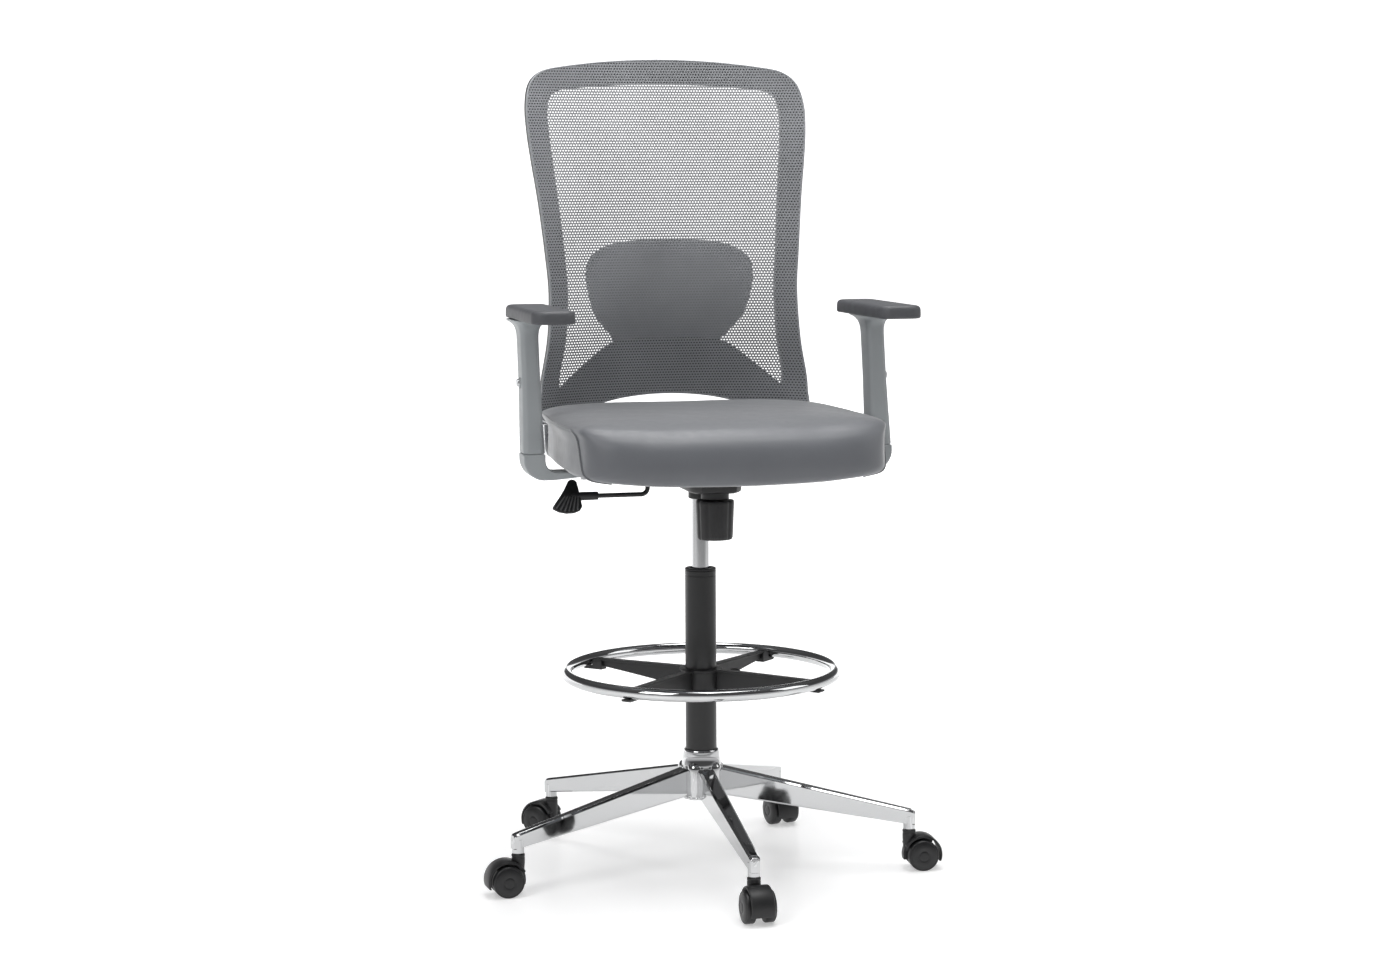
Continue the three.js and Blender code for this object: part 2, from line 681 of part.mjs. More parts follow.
function spider() {
  const hub = pipe(spiderInner, spiderOuter, SPIDER_FOOT, SPIDER_TOP, 0, 0, ROUND_SIDES);
  const arms = Array.from({ length: SPOKE_COUNT }, (_, i) => spun(spoke(), 45 + (i * 360) / SPOKE_COUNT));
  const boss = crossRod(2.2 * RING_SCREW_RADIUS, spiderInner + 1, bossReach, 0, bossZ);
  const screwRoom = crossRod(RING_SCREW_RADIUS + GAP, 0, bossReach + 1, 0, bossZ, 16);
  const bore = rod(spiderInner, SPIDER_FOOT - 1, SPIDER_TOP + 1, 0, 0, ROUND_SIDES);
  return cut(join(hub, boss, ...arms), bore, screwRoom);
}
const ringAxle = new THREE.TorusGeometry(RING_RADIUS, RING_TUBE + GAP, 10, 48);
ringAxle.translate(0, 0, RING_HEIGHT);
add("foot_ring_spider", cut(spider(), solid(ringAxle)), BLACK_NYLON);

/** A fluted outline: a circle whose radius rises and falls evenly. */
function flutedRing(radius, depth, flutes, pointsPerFlute, z) {
  const count = flutes * pointsPerFlute;
  return Array.from({ length: count }, (_, i) => {
    const angle = (2 * Math.PI * i) / count;
    const reach = radius - depth * (0.5 - 0.5 * Math.cos(flutes * angle));
    return [reach * Math.cos(angle), reach * Math.sin(angle), z];
  });
}
function ringKnob() {
  const grip = loft([
    flutedRing(RING_KNOB_RADIUS - 2, 1.4, 6, 4, 0),
    flutedRing(RING_KNOB_RADIUS, 2, 6, 4, 2),
    flutedRing(RING_KNOB_RADIUS, 2, 6, 4, RING_KNOB_LENGTH - 3),
    flutedRing(RING_KNOB_RADIUS - 3, 1.4, 6, 4, RING_KNOB_LENGTH),
  ]).rotate([0, 90, 0]);
  const screw = crossRod(RING_SCREW_RADIUS, spiderInner, RING_KNOB_START + 2, 0, bossZ, 16);
  return join(shifted(grip, RING_KNOB_START, 0, bossZ), screw);
}
add("foot_ring_knob", ringKnob(), BLACK_NYLON);

// ---------------------------------------------------------------- tilt mechanism
/** The pressed housing: an open tray with a tapering front, a boss for the cylinder and a cup for the spring. */
function mechanismHousing() {
  const shell = (inset, low, high) => {
    const w = HOUSING_HALF_WIDTH - inset;
    const front = HOUSING_FRONT + inset;
    const back = HOUSING_BACK - inset;
    const geometry = new THREE.ExtrudeGeometry(outline([
      [-w + 14, front],
      [w - 14, front],
      [w, front + 30],
      [w, back - 12],
      [w - 12, back],
      [-w + 12, back],
      [-w, back - 12],
      [-w, front + 30],
    ]), { depth: high - low, bevelEnabled: false });
    geometry.translate(0, 0, low);
    return solid(geometry);
  };
  const tray = cut(shell(0, HOUSING_FLOOR, HOUSING_RIM),
    shell(HOUSING_WALL, HOUSING_FLOOR + HOUSING_WALL, HOUSING_RIM + 1));
  const boss = rod(BOSS_RADIUS, BOSS_FOOT, HOUSING_FLOOR + 6, 0, 0, ROUND_SIDES);
  const cup = rod(CUP_RADIUS, CUP_FOOT, HOUSING_RIM - 4, 0, SPRING_Y, ROUND_SIDES);
  const cylinderRoom = rod(CYLINDER_RADIUS + GAP, BOSS_FOOT - 1, HOUSING_RIM, 0, 0, ROUND_SIDES);
  const cupRoom = rod(CUP_RADIUS - CUP_WALL, CUP_FOOT + CUP_WALL, HOUSING_RIM + 1, 0, SPRING_Y, ROUND_SIDES);
  const boltRoom = rod(BOLT_RADIUS + GAP, CUP_FOOT - 1, CUP_FOOT + CUP_WALL + 1, 0, SPRING_Y, 16);
  const pinRoom = crossRod(PIVOT_PIN_RADIUS + GAP, -PLATE_HALF_WIDTH, PLATE_HALF_WIDTH, PIVOT_Y, PIVOT_Z, 16);
  const cheek = (side) => {
    const x = side * (HOUSING_HALF_WIDTH - HOUSING_WALL / 2);
    return box([x - HOUSING_WALL / 2, -12, HOUSING_RIM - 2], [x + HOUSING_WALL / 2, 12, LEVER_Z + 10]);
  };
  const leverRoom = crossRod(BUSH_RADIUS + 0.8, -HOUSING_HALF_WIDTH - 2, -HOUSING_HALF_WIDTH + 6, 0, LEVER_Z);
  return cut(join(tray, boss, cup, cheek(-1)), cylinderRoom, cupRoom, boltRoom, pinRoom, leverRoom);
}
add("mechanism_housing", mechanismHousing(), BLACK_PAINT);

const pivotLength = HOUSING_HALF_WIDTH + GAP + PLATE_THICK + 5;
add("tilt_pin", crossRod(PIVOT_PIN_RADIUS, -pivotLength, pivotLength, PIVOT_Y, PIVOT_Z, 16), STEEL);

/** A coil as a bar along a helix. */
class Helix extends THREE.Curve {
  constructor(radius, turns, z0, z1, y) {
    super();
    Object.assign(this, { radius, turns, z0, z1, y });
  }
  getPoint(t, target = new THREE.Vector3()) {
    const angle = 2 * Math.PI * this.turns * t;
    return target.set(
      this.radius * Math.cos(angle),
      this.y + this.radius * Math.sin(angle),
      lerp(this.z0, this.z1, t),
    );
  }
}
const springFoot = CUP_FOOT + CUP_WALL + GAP + SPRING_WIRE;
const springHead = HOUSING_RIM - SPRING_WIRE;
const coil = new Helix(SPRING_RADIUS, SPRING_TURNS, springFoot, springHead, SPRING_Y);
add("tension_spring", bar(coil, SPRING_WIRE, SPRING_TURNS * 9, 6), STEEL);

const knobHead = CUP_FOOT - 1;
const knobFoot = knobHead - KNOB_LENGTH;
const tensionBolt = turned([
  [0, knobFoot + 10],
  [BOLT_RADIUS, knobFoot + 10],
  [BOLT_RADIUS, HOUSING_RIM],
  [BOLT_RADIUS + 4, HOUSING_RIM],
  [BOLT_RADIUS + 4, HOUSING_RIM + 4],
  [0, HOUSING_RIM + 4],
], 0, SPRING_Y, 16);
add("tension_bolt", tensionBolt, STEEL);

function tensionKnob() {
  const level = (radius, depth, z) => flutedRing(radius, depth, KNOB_FLUTES, 4, z);
  const grip = loft([
    level(KNOB_FOOT_RADIUS - 4, 0.6, knobFoot),
    level(KNOB_FOOT_RADIUS - 1, 1.2, knobFoot + 1.4),
    level(KNOB_FOOT_RADIUS, 1.6, knobFoot + 4.5),
    level(KNOB_TOP_RADIUS, 1.6, knobHead - 3),
    level(KNOB_TOP_RADIUS - 1.5, 1, knobHead),
  ]);
  const boltRoom = rod(BOLT_RADIUS + GAP, knobFoot + 10 - GAP, knobHead + 1, 0, 0, 16);
  return shifted(cut(grip, boltRoom), 0, SPRING_Y, 0);
}
add("tension_knob", tensionKnob(), BLACK_NYLON);

// The seat plate lies on the pan's underside and hangs on the pivot pin by two ears.
const plateTopZ = PAN_FOOT - GAP;
const plateFootZ = plateTopZ - PLATE_THICK;
const earX = HOUSING_HALF_WIDTH + GAP;
function seatPlate() {
  const sheet = box([-PLATE_HALF_WIDTH, PLATE_FRONT, plateFootZ], [PLATE_HALF_WIDTH, PLATE_BACK, plateTopZ]);
  const ear = standing(roundedRectangle(24, 40, 10), PLATE_THICK, 0, 4)
    .rotate([0, 0, 90])
    .translate([earX + PLATE_THICK / 2, PIVOT_Y, PIVOT_Z + 6]);
  const trimmed = cut(ear, box([-200, -200, plateTopZ], [200, 200, plateTopZ + 50]));
  const pinRoom = crossRod(PIVOT_PIN_RADIUS + GAP, -PLATE_HALF_WIDTH, PLATE_HALF_WIDTH, PIVOT_Y, PIVOT_Z, 16);
  return cut(join(sheet, trimmed, mirrored(trimmed)), pinRoom);
}
add("seat_plate", seatPlate(), BLACK_PAINT);

// ---------------------------------------------------------------- lift lever
const bushStart = -HOUSING_HALF_WIDTH - BUSH_LENGTH / 2;
const leverBush = cut(
  crossRod(BUSH_RADIUS, bushStart, bushStart + BUSH_LENGTH, 0, LEVER_Z, 20),
  crossRod(LEVER_RADIUS + GAP, bushStart - 1, bushStart + BUSH_LENGTH + 1, 0, LEVER_Z, 16),
);
add("lever_bush", leverBush, BLACK_NYLON);

/** The lever's wire: straight out of the mechanism, down in a joggle and on towards the paddle. */
function leverPath() {
  const bend = 11;
  const points = [
    [LEVER_INNER_END, LEVER_Z],
    [LEVER_DROP_X + bend, LEVER_Z],
    [LEVER_DROP_X, LEVER_Z - bend],
    [LEVER_DROP_X, LEVER_LOW_Z + bend],
    [LEVER_DROP_X - bend, LEVER_LOW_Z],
    [LEVER_OUTER_END, LEVER_LOW_Z],
  ].map(([x, z]) => new THREE.Vector3(x, 0, z));
  const corner = (x, z) => new THREE.Vector3(x, 0, z);
  const path = new THREE.CurvePath();
  path.add(new THREE.LineCurve3(points[0], points[1]));
  path.add(new THREE.QuadraticBezierCurve3(points[1], corner(LEVER_DROP_X, LEVER_Z), points[2]));
  path.add(new THREE.LineCurve3(points[2], points[3]));
  path.add(new THREE.QuadraticBezierCurve3(points[3], corner(LEVER_DROP_X, LEVER_LOW_Z), points[4]));
  path.add(new THREE.LineCurve3(points[4], points[5]));
  return path;
}
add("lift_lever", bar(leverPath(), LEVER_RADIUS, 34, 8), BLACK_PAINT);

/** The paddle: a socket on the wire's end and a tilted fan-shaped plate with ribs along it. */
function leverPaddle() {
  const socket = crossRod(PADDLE_SOCKET_RADIUS, LEVER_OUTER_END - 8, PADDLE_SOCKET_START, 0, LEVER_LOW_Z, 20);
  const fan = new THREE.Shape();
  fan.moveTo(-6, 24);
  fan.quadraticCurveTo(0, 32, 8, 26);
  fan.quadraticCurveTo(10, 4, 12, -20);
  fan.quadraticCurveTo(-8, -36, -34, -24);
  fan.quadraticCurveTo(-26, -8, -16, 6);
  fan.closePath();
  const blade = new THREE.ExtrudeGeometry(fan, {
    depth: PADDLE_THICK - 2 * PADDLE_BEVEL,
    bevelThickness: PADDLE_BEVEL,
    bevelSize: PADDLE_BEVEL,
    bevelSegments: 1,
    curveSegments: 6,
  });
  const blend = solid(blade)
    .rotate([PADDLE_TILT, 0, 0])
    .translate([LEVER_OUTER_END - 12, 0, LEVER_LOW_Z - 1]);
  const roomStart = LEVER_OUTER_END - GAP;
  const wireRoom = crossRod(LEVER_RADIUS + GAP, roomStart, PADDLE_SOCKET_START + 1, 0, LEVER_LOW_Z, 16);
  return cut(join(socket, blend), wireRoom);
}
add("lever_paddle", leverPaddle(), BLACK_NYLON);

// ---------------------------------------------------------------- seat
/** Half the seat's plan outline, from the middle of the front round to the middle of the back. */
function seatHalf() {
  const front = [0, 0.3, 0.6, 0.8].map((share) => {
    const x = share * (SEAT_FRONT_HALF_WIDTH - SEAT_FRONT_CORNER);
    return [x, SEAT_FRONT + SEAT_FRONT_BOW * (x / SEAT_FRONT_HALF_WIDTH) ** 2];
  });
  const cornerFoot = SEAT_FRONT + SEAT_FRONT_BOW;
  const turn = (x, y, radius, from, to, steps) =>
    arc(radius, from, to, steps).map(([dx, dy]) => [x + dx, y + dy]);
  const frontCorner = turn(SEAT_FRONT_HALF_WIDTH - SEAT_FRONT_CORNER, cornerFoot + SEAT_FRONT_CORNER,
    SEAT_FRONT_CORNER, -80, 0, 3);
  const rearCorner = turn(SEAT_REAR_HALF_WIDTH - SEAT_REAR_CORNER, SEAT_BACK - SEAT_REAR_CORNER,
    SEAT_REAR_CORNER, 5, 90, 4);
  return [...front, ...frontCorner, ...SEAT_SIDE, ...rearCorner, [0, SEAT_BACK]];
}
const halfPlan = seatHalf();
const seatOutline = [...halfPlan, ...halfPlan.slice(1, -1).reverse().map(([x, y]) => [-x, y])];
const seatMiddle = (SEAT_FRONT + SEAT_BACK) / 2;
/** The seat's outline drawn in towards its middle by an inset, at a height or at heights by place. */
function seatRing(inset, z) {
  const scale = 1 - inset / SEAT_HALF_WIDTH;
  return seatOutline.map(([planX, planY]) => {
    const x = planX * scale;
    const y = seatMiddle + (planY - seatMiddle) * scale;
    return [x, y, typeof z === "function" ? z(x, y) : z];
  });
}
/** How far the front roll hangs below the sides at a point of the underside. */
const lipDrop = (x, y) =>
  SEAT_LIP_DROP * (1 - (x / SEAT_HALF_WIDTH) ** 2) * (1 - smooth(y, SEAT_FRONT, SEAT_FRONT + 70));
/** How far the top has fallen towards the front edge. */
const frontFall = (y) => 16 * (1 - smooth(y, SEAT_FRONT, SEAT_FRONT + 90)) ** 1.5;

function seatCushion() {
  const skin = loft([
    seatRing(24, (x, y) => SEAT_UNDERSIDE + 2 - lipDrop(x, y)),
    seatRing(7, (x, y) => SEAT_UNDERSIDE - lipDrop(x, y)),
    seatRing(0, (x, y) => SEAT_UNDERSIDE + 12 - lipDrop(x, y)),
    seatRing(0, (x, y) => SEAT_EDGE_TOP - 22 - frontFall(y)),
    seatRing(4, (x, y) => SEAT_EDGE_TOP - 8 - frontFall(y)),
    seatRing(16, (x, y) => SEAT_EDGE_TOP - frontFall(y)),
    seatRing(60, (x, y) => lerp(SEAT_EDGE_TOP, SEAT_TOP, 0.7) - 0.6 * frontFall(y)),
    seatRing(130, SEAT_TOP),
  ]);
  const recess = loft([
    seatRing(PAN_INSET - GAP, PAN_FOOT - 20),
    seatRing(PAN_INSET - GAP, PAN_FOOT + PAN_THICK + GAP),
  ]);
  return cut(skin, recess);
}
add("seat_cushion", seatCushion(), GREY_LEATHER);
add("seat_pan", loft([
  seatRing(PAN_INSET + 2, PAN_FOOT),
  seatRing(PAN_INSET, PAN_FOOT + 2),
  seatRing(PAN_INSET, PAN_FOOT + PAN_THICK),
]), BLACK_NYLON);

// ---------------------------------------------------------------- arms (modelled on +X, mirrored to -X)
const leanSlope = Math.tan(radians(ARM_LEAN));
const armY = (z) => ARM_Y + (z - ARM_BUTTON_Z) * leanSlope;

/** A rounded-rectangle ring at a height, its middle on the arm's leaning centre line. */
function armRing(width, depth, z, xMiddle = ARM_X, corner = 7) {
  const x = width / 2 - corner;
  const y = depth / 2 - corner;
  const corners = [[x, -y, -90], [x, y, 0], [-x, y, 90], [-x, -y, 180]];
  return corners.flatMap(([dx, dy, from]) =>
    arc(corner, from, from + 90, 3).map(([ax, ay]) => [xMiddle + dx + ax, armY(z) + dy + ay, z]));
}
const channelWidth = ARM_WIDTH - 2 * ARM_SLEEVE_WALL;
const channelDepth = ARM_DEPTH - 2 * ARM_SLEEVE_WALL;
const sleeveFoot = ARM_SEAM_Z + GAP;
const flareFoot = ARM_SEAM_Z + ARM_POST_LENGTH + 20;
const flareTop = flareFoot + ARM_FLARE_LENGTH + 4;
const buttonRoomEnd = ARM_X + channelWidth / 2 - 1;

function armSleeve() {
  const shell = loft([
    armRing(ARM_FOOT_WIDTH, ARM_DEPTH, sleeveFoot),
    armRing(lerp(ARM_FOOT_WIDTH, ARM_WIDTH, 0.6), ARM_DEPTH, lerp(sleeveFoot, ARM_BUTTON_Z, 0.5)),
    armRing(ARM_WIDTH, ARM_DEPTH, ARM_BUTTON_Z),
    armRing(ARM_WIDTH, ARM_DEPTH, flareFoot),
    armRing(lerp(ARM_WIDTH, ARM_FLARE_WIDTH, 0.14), lerp(ARM_DEPTH, ARM_FLARE_DEPTH, 0.12), flareFoot + 11),
    armRing(lerp(ARM_WIDTH, ARM_FLARE_WIDTH, 0.45), lerp(ARM_DEPTH, ARM_FLARE_DEPTH, 0.4), flareFoot + 18),
    armRing(ARM_FLARE_WIDTH, ARM_FLARE_DEPTH, flareFoot + ARM_FLARE_LENGTH),
    armRing(ARM_FLARE_WIDTH, ARM_FLARE_DEPTH, flareTop),
  ]);
  const channel = loft([
    armRing(channelWidth, channelDepth, sleeveFoot - 1, ARM_X, 2),
    armRing(channelWidth, channelDepth, flareFoot - 8, ARM_X, 2),
  ]);
  const buttonRoom = crossRod(BUTTON_RADIUS + GAP, ARM_X, ARM_X + ARM_WIDTH, ARM_Y, ARM_BUTTON_Z);
  return cut(shell, channel, buttonRoom);
}

/** The elbow: a foot under the seat that turns up through a rounded corner, with the post standing on it. */
function armBracket() {
  const outer = ARM_X + ARM_FOOT_WIDTH / 2;
  const inner = ARM_X - ARM_FOOT_WIDTH / 2;
  const footTop = PAN_FOOT - 2;
  const footBottom = footTop - ARM_FOOT_THICK;
  const shape = new THREE.Shape();
  shape.moveTo(ARM_FOOT_END, footBottom);
  shape.lineTo(SEAT_HALF_WIDTH - 36, footBottom);
  shape.quadraticCurveTo(SEAT_HALF_WIDTH - 20, ARM_ELBOW_Z, SEAT_HALF_WIDTH - 2, ARM_ELBOW_Z);
  shape.lineTo(outer - 26, ARM_ELBOW_Z);
  shape.quadraticCurveTo(outer, ARM_ELBOW_Z, outer, ARM_ELBOW_Z + 26);
  shape.lineTo(outer, ARM_SEAM_Z);
  shape.lineTo(inner, ARM_SEAM_Z);
  shape.lineTo(inner, footTop + 18);
  shape.quadraticCurveTo(inner, footTop, inner - 14, footTop);
  shape.lineTo(ARM_FOOT_END, footTop);
  const elbow = standing(shape, ARM_DEPTH, armY(ARM_SEAM_Z), 5);
  const clearance = 2 * GAP;
  const postTop = ARM_SEAM_Z + ARM_POST_LENGTH;
  const post = loft([
    armRing(channelWidth - clearance, channelDepth - clearance, ARM_SEAM_Z - 2, ARM_X, 2),
    armRing(channelWidth - clearance, channelDepth - clearance, postTop, ARM_X, 2),
  ]);
  const slotDepth = BUTTON_LENGTH / 2 + GAP;
  const slotFloor = buttonRoomEnd - slotDepth;
  const slot = loft([
    armRing(20, 2 * BUTTON_RADIUS + 3, ARM_BUTTON_Z - 12, slotFloor + 10, 2),
    armRing(20, 2 * BUTTON_RADIUS + 3, postTop + 1, slotFloor + 10, 2),
  ]);
  return join(cut(post, slot), elbow);
}

const sleeveFace = ARM_X + ARM_WIDTH / 2;
const armButton = crossRod(BUTTON_RADIUS, buttonRoomEnd, sleeveFace + BUTTON_STAND, ARM_Y, ARM_BUTTON_Z);

const padFoot = flareTop + GAP;
function armPad() {
  const shape = roundedRectangle(PAD_WIDTH - 2 * PAD_BEVEL, PAD_LENGTH - 2 * PAD_BEVEL, PAD_CORNER - PAD_BEVEL);
  const geometry = new THREE.ExtrudeGeometry(shape, {
    depth: PAD_THICK - 2 * PAD_BEVEL,
    bevelThickness: PAD_BEVEL,
    bevelSize: PAD_BEVEL,
    bevelSegments: 2,
    curveSegments: 3,
  });
  geometry.translate(PAD_X, PAD_Y, padFoot + PAD_BEVEL);
  return solid(geometry);
}

const armParts = [
  ["arm_bracket", armBracket(), GREY_PLASTIC],
  ["arm_sleeve", armSleeve(), GREY_PLASTIC],
  ["arm_button", armButton, STEEL],
  ["arm_pad", armPad(), PAD_GREY],
];
for (const [name, made, material] of armParts) {
  add(`${name}_left`, made, material);
  add(`${name}_right`, mirrored(made), material);
}

// ---------------------------------------------------------------- back
/** A smooth function through [height, value] pairs, straight between them eased at each end. */
const graded = (pairs) => (z) => {
  const last = pairs.length - 1;
  if (z <= pairs[0][0]) return pairs[0][1];
  if (z >= pairs[last][0]) return pairs[last][1];
  const i = pairs.findIndex(([height]) => height > z) - 1;
  const slope = (k) => {
    const a = pairs[Math.max(k - 1, 0)];
    const b = pairs[Math.min(k + 1, last)];
    return (b[1] - a[1]) / (b[0] - a[0]);
  };
  const [z0, v0] = pairs[i];
  const [z1, v1] = pairs[i + 1];
  const span = z1 - z0;
  const t = (z - z0) / span;
  const rise = t * t * (3 - 2 * t);
  return lerp(v0, v1, rise) + span * (slope(i) * t * (1 - t) ** 2 - slope(i + 1) * t * t * (1 - t));
};
// Height above the floor against: the middle line's place, how far the sides come forward, and half width.
const backLine = graded([[700, 256], [740, 246], [850, 218], [930, 210], [1010, 215], [1100, 231], [1200, 251],
  [1310, 276]]);
const backWings = graded([[700, 80], [740, 77], [850, 52], [960, 36], [1220, 34], [1310, 26]]);
const backHalf = graded([[700, 230], [750, 228], [785, 224.5], [817, 219], [850, 213.5], [882, 211], [925, 209.5],
  [980, 212.5], [1077, 222.5], [1142, 231], [1215, 237], [1310, 238]]);

/** The back's front surface: the middle line's depth less a rise of the sides towards the sitter. */
const backDepth = (x, z) => backLine(z) - backWings(z) * Math.min(Math.abs(x) / backHalf(z), 1.05) ** 2.6;

/** The outer outline of the back, half of it, from the middle of the bottom arch to the middle of the top. */
const outerHalf = [[0, 752], [70, 747], [131, 734], [188, 718], [219, 716], [229.5, 732], [227.5, 755], [224.5, 785],
  [213.5, 850], [209.5, 925], [214, 990], [222.5, 1077], [231, 1142], [236, 1190], [236.5, 1232], [228, 1267],
  [207, 1287], [172, 1296], [90, 1305.5], [0, 1309]];
/** The inner outline, point for point: the neck and flares of the cross member, then the open panel's edge. */
const innerHalf = [[0, 846], [60, 846], [99, 838], [140, 808], [178, 776], [188, 768], [191, 775], [189.5, 795],
  [180, 850], [176, 925], [180, 990], [187, 1077], [193.5, 1142], [197.5, 1190], [198, 1222], [192, 1245],
  [176, 1256], [150, 1260], [80, 1265.5], [0, 1267]];

/** A closed loop through half an outline and its mirror image. */
function loop(half) {
  const left = half.slice(1, -1).reverse().map(([x, z]) => [-x, z]);
  const points = [...half, ...left].map(([x, z]) => new THREE.Vector3(x, 0, z));
  return new THREE.CatmullRomCurve3(points, true);
}
const outerLoop = loop(outerHalf);
const innerLoop = loop(innerHalf);
const BACK_STATIONS = 2 * (outerHalf.length - 1) * 2;

/** The moulded frame: a band between the two outlines that follows the back's surface, grown all round. */
function backFrame(grow = 0) {
  const sections = Array.from({ length: BACK_STATIONS }, (_, i) => {
    const outer = outerLoop.getPoint(i / BACK_STATIONS);
    const inner = innerLoop.getPoint(i / BACK_STATIONS);
    const along = outer.clone().sub(inner).normalize();
    const at = (base, step, share, lift) => {
      const p = base.clone().addScaledVector(along, step).lerp(inner, share);
      return [p.x, backDepth(p.x, p.z) + lift, p.z];
    };
    const front = -grow;
    const back = BACK_FRAME_THICK + grow;
    const middle = (lift) => {
      const x = (outer.x + inner.x) / 2;
      const z = (outer.z + inner.z) / 2;
      return [x, backDepth(x, z) + lift, z];
    };
    return [
      at(outer, grow, 0, front + 5),
      at(outer, grow - 3, 0, front),
      middle(front),
      at(inner, 1 - grow, 0, front),
      at(inner, 1 - grow, 0, back - 3),
      at(inner, 3 - grow, 0, back),
      middle(back),
      at(outer, grow - 4, 0, back),
      at(outer, grow, 0, back - 6),
    ];
  });
  return closedSweep(sections);
}
add("back_frame", backFrame(), GREY_PLASTIC);

// Heights of the sheet's lower and upper edges against the distance from the middle plane.
const sheetFoot = graded([[0, 757], [70, 752], [131, 739], [188, 724], [212, 722], [226, 734]]);
const sheetHead = graded([[0, 1304], [90, 1301], [172, 1291], [200, 1284], [219, 1271], [228, 1254]]);

/** A point a given distance behind the back's front surface. */
const behind = (x, z, lift) => [x, backDepth(x, z) + lift, z];

/** The stretched sheet over the whole front of the frame. */
function backMesh() {
  const face = (lift) => (u, v) => {
    const share = 2 * u - 1;
    const reach = Math.abs(share) * SHEET_REACH;
    const z = lerp(sheetFoot(reach), sheetHead(reach), v);
    return behind(share * (backHalf(z) - SHEET_INSET), z, lift);
  };
  return slab(12, 12, face(-BACK_MESH_LIFT - BACK_MESH_THICK), face(-BACK_MESH_LIFT));
}
add("back_mesh", backMesh(), GREY_MESH);

/** The lumbar pad: a shield behind the sheet, with a tongue that runs down behind the cross member. */
function lumbarPad() {
  const half = graded([[LUMBAR_FOOT, 97], [900, 118], [958, 147], [985, 150], [1010, 140]]);
  const crown = graded([[0, LUMBAR_TOP], [90, LUMBAR_TOP - 3], [128, LUMBAR_TOP - 14], [148, LUMBAR_TOP - 42]]);
  const face = (lift) => (u, v) => {
    const share = 2 * u - 1;
    const z = lerp(LUMBAR_FOOT, crown(Math.abs(share) * 148), v);
    return behind(share * half(z), z, lift);
  };
  const shield = slab(10, 7, face(LUMBAR_LIFT), face(LUMBAR_LIFT + LUMBAR_THICK));
  const strip = (foot, head, front, back) => {
    const side = (lift) => (u, v) => behind((2 * u - 1) * TONGUE_HALF_WIDTH, lerp(foot, head, v), lift);
    return slab(2, 4, side(front), side(back));
  };
  const tongueFront = BACK_FRAME_THICK + 1;
  const tongueBack = tongueFront + TONGUE_THICK;
  const tongue = strip(TONGUE_FOOT, LUMBAR_FOOT + 22, tongueFront, tongueBack);
  const bridge = strip(LUMBAR_FOOT + 4, LUMBAR_FOOT + 22, LUMBAR_LIFT + 4, tongueBack - 1);
  return join(shield, tongue, bridge);
}
add("lumbar_pad", lumbarPad(), BLACK_NYLON);

/** A strut on +X: a flat bar from under the seat, bent up its side, with a head flat behind the frame's tip. */
function backStrut() {
  const outer = STRUT_X + STRUT_THICK;
  const top = PAN_FOOT - GAP;
  const bottom = top - STRUT_THICK;
  const shape = new THREE.Shape();
  shape.moveTo(STRUT_INNER_END, bottom);
  shape.lineTo(outer - STRUT_BEND, bottom);
  shape.quadraticCurveTo(outer, bottom, outer, bottom + STRUT_BEND);
  shape.lineTo(outer, STRUT_BAR_TOP);
  shape.lineTo(STRUT_X, STRUT_BAR_TOP);
  shape.lineTo(STRUT_X, bottom + STRUT_BEND);
  shape.quadraticCurveTo(STRUT_X, top, outer - STRUT_BEND, top);
  shape.lineTo(STRUT_INNER_END, top);
  const flat = standing(shape, STRUT_BACK - STRUT_FRONT, (STRUT_BACK + STRUT_FRONT) / 2, 5);
  const head = (lift) => (u, v) =>
    behind(lerp(STRUT_HEAD_INNER, outer, u), lerp(STRUT_BAR_TOP - 12, STRUT_HEAD_TOP, v), lift);
  const headFront = BACK_FRAME_THICK + 1;
  return join(flat, slab(3, 5, head(headFront), head(headFront + STRUT_HEAD_THICK)));
}
add("back_strut_left", backStrut(), GREY_PLASTIC);
add("back_strut_right", mirrored(backStrut()), GREY_PLASTIC);

// ---------------------------------------------------------------- set down on the origin
const bounds = new THREE.Box3().setFromObject(chair, true);
const middle = bounds.getCenter(new THREE.Vector3());
chair.position.set(-middle.x, -middle.y, -bounds.min.z);
const part = new THREE.Group();
part.add(chair);

export default part;
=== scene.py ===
"""The looks of a drafting chair: star base on castors, gas lift with a foot ring, padded seat, arms and mesh back.

Every shape is given in millimetres round the column's axis, with the floor at zero, -Y towards the front and +X to
the sitter's left. Form.build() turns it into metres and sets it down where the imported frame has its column.
"""

import logging
import math
from dataclasses import dataclass, field
from enum import Enum
from typing import Callable, Sequence

import bmesh
import bpy
import numpy as np
from mathutils import Matrix, Vector

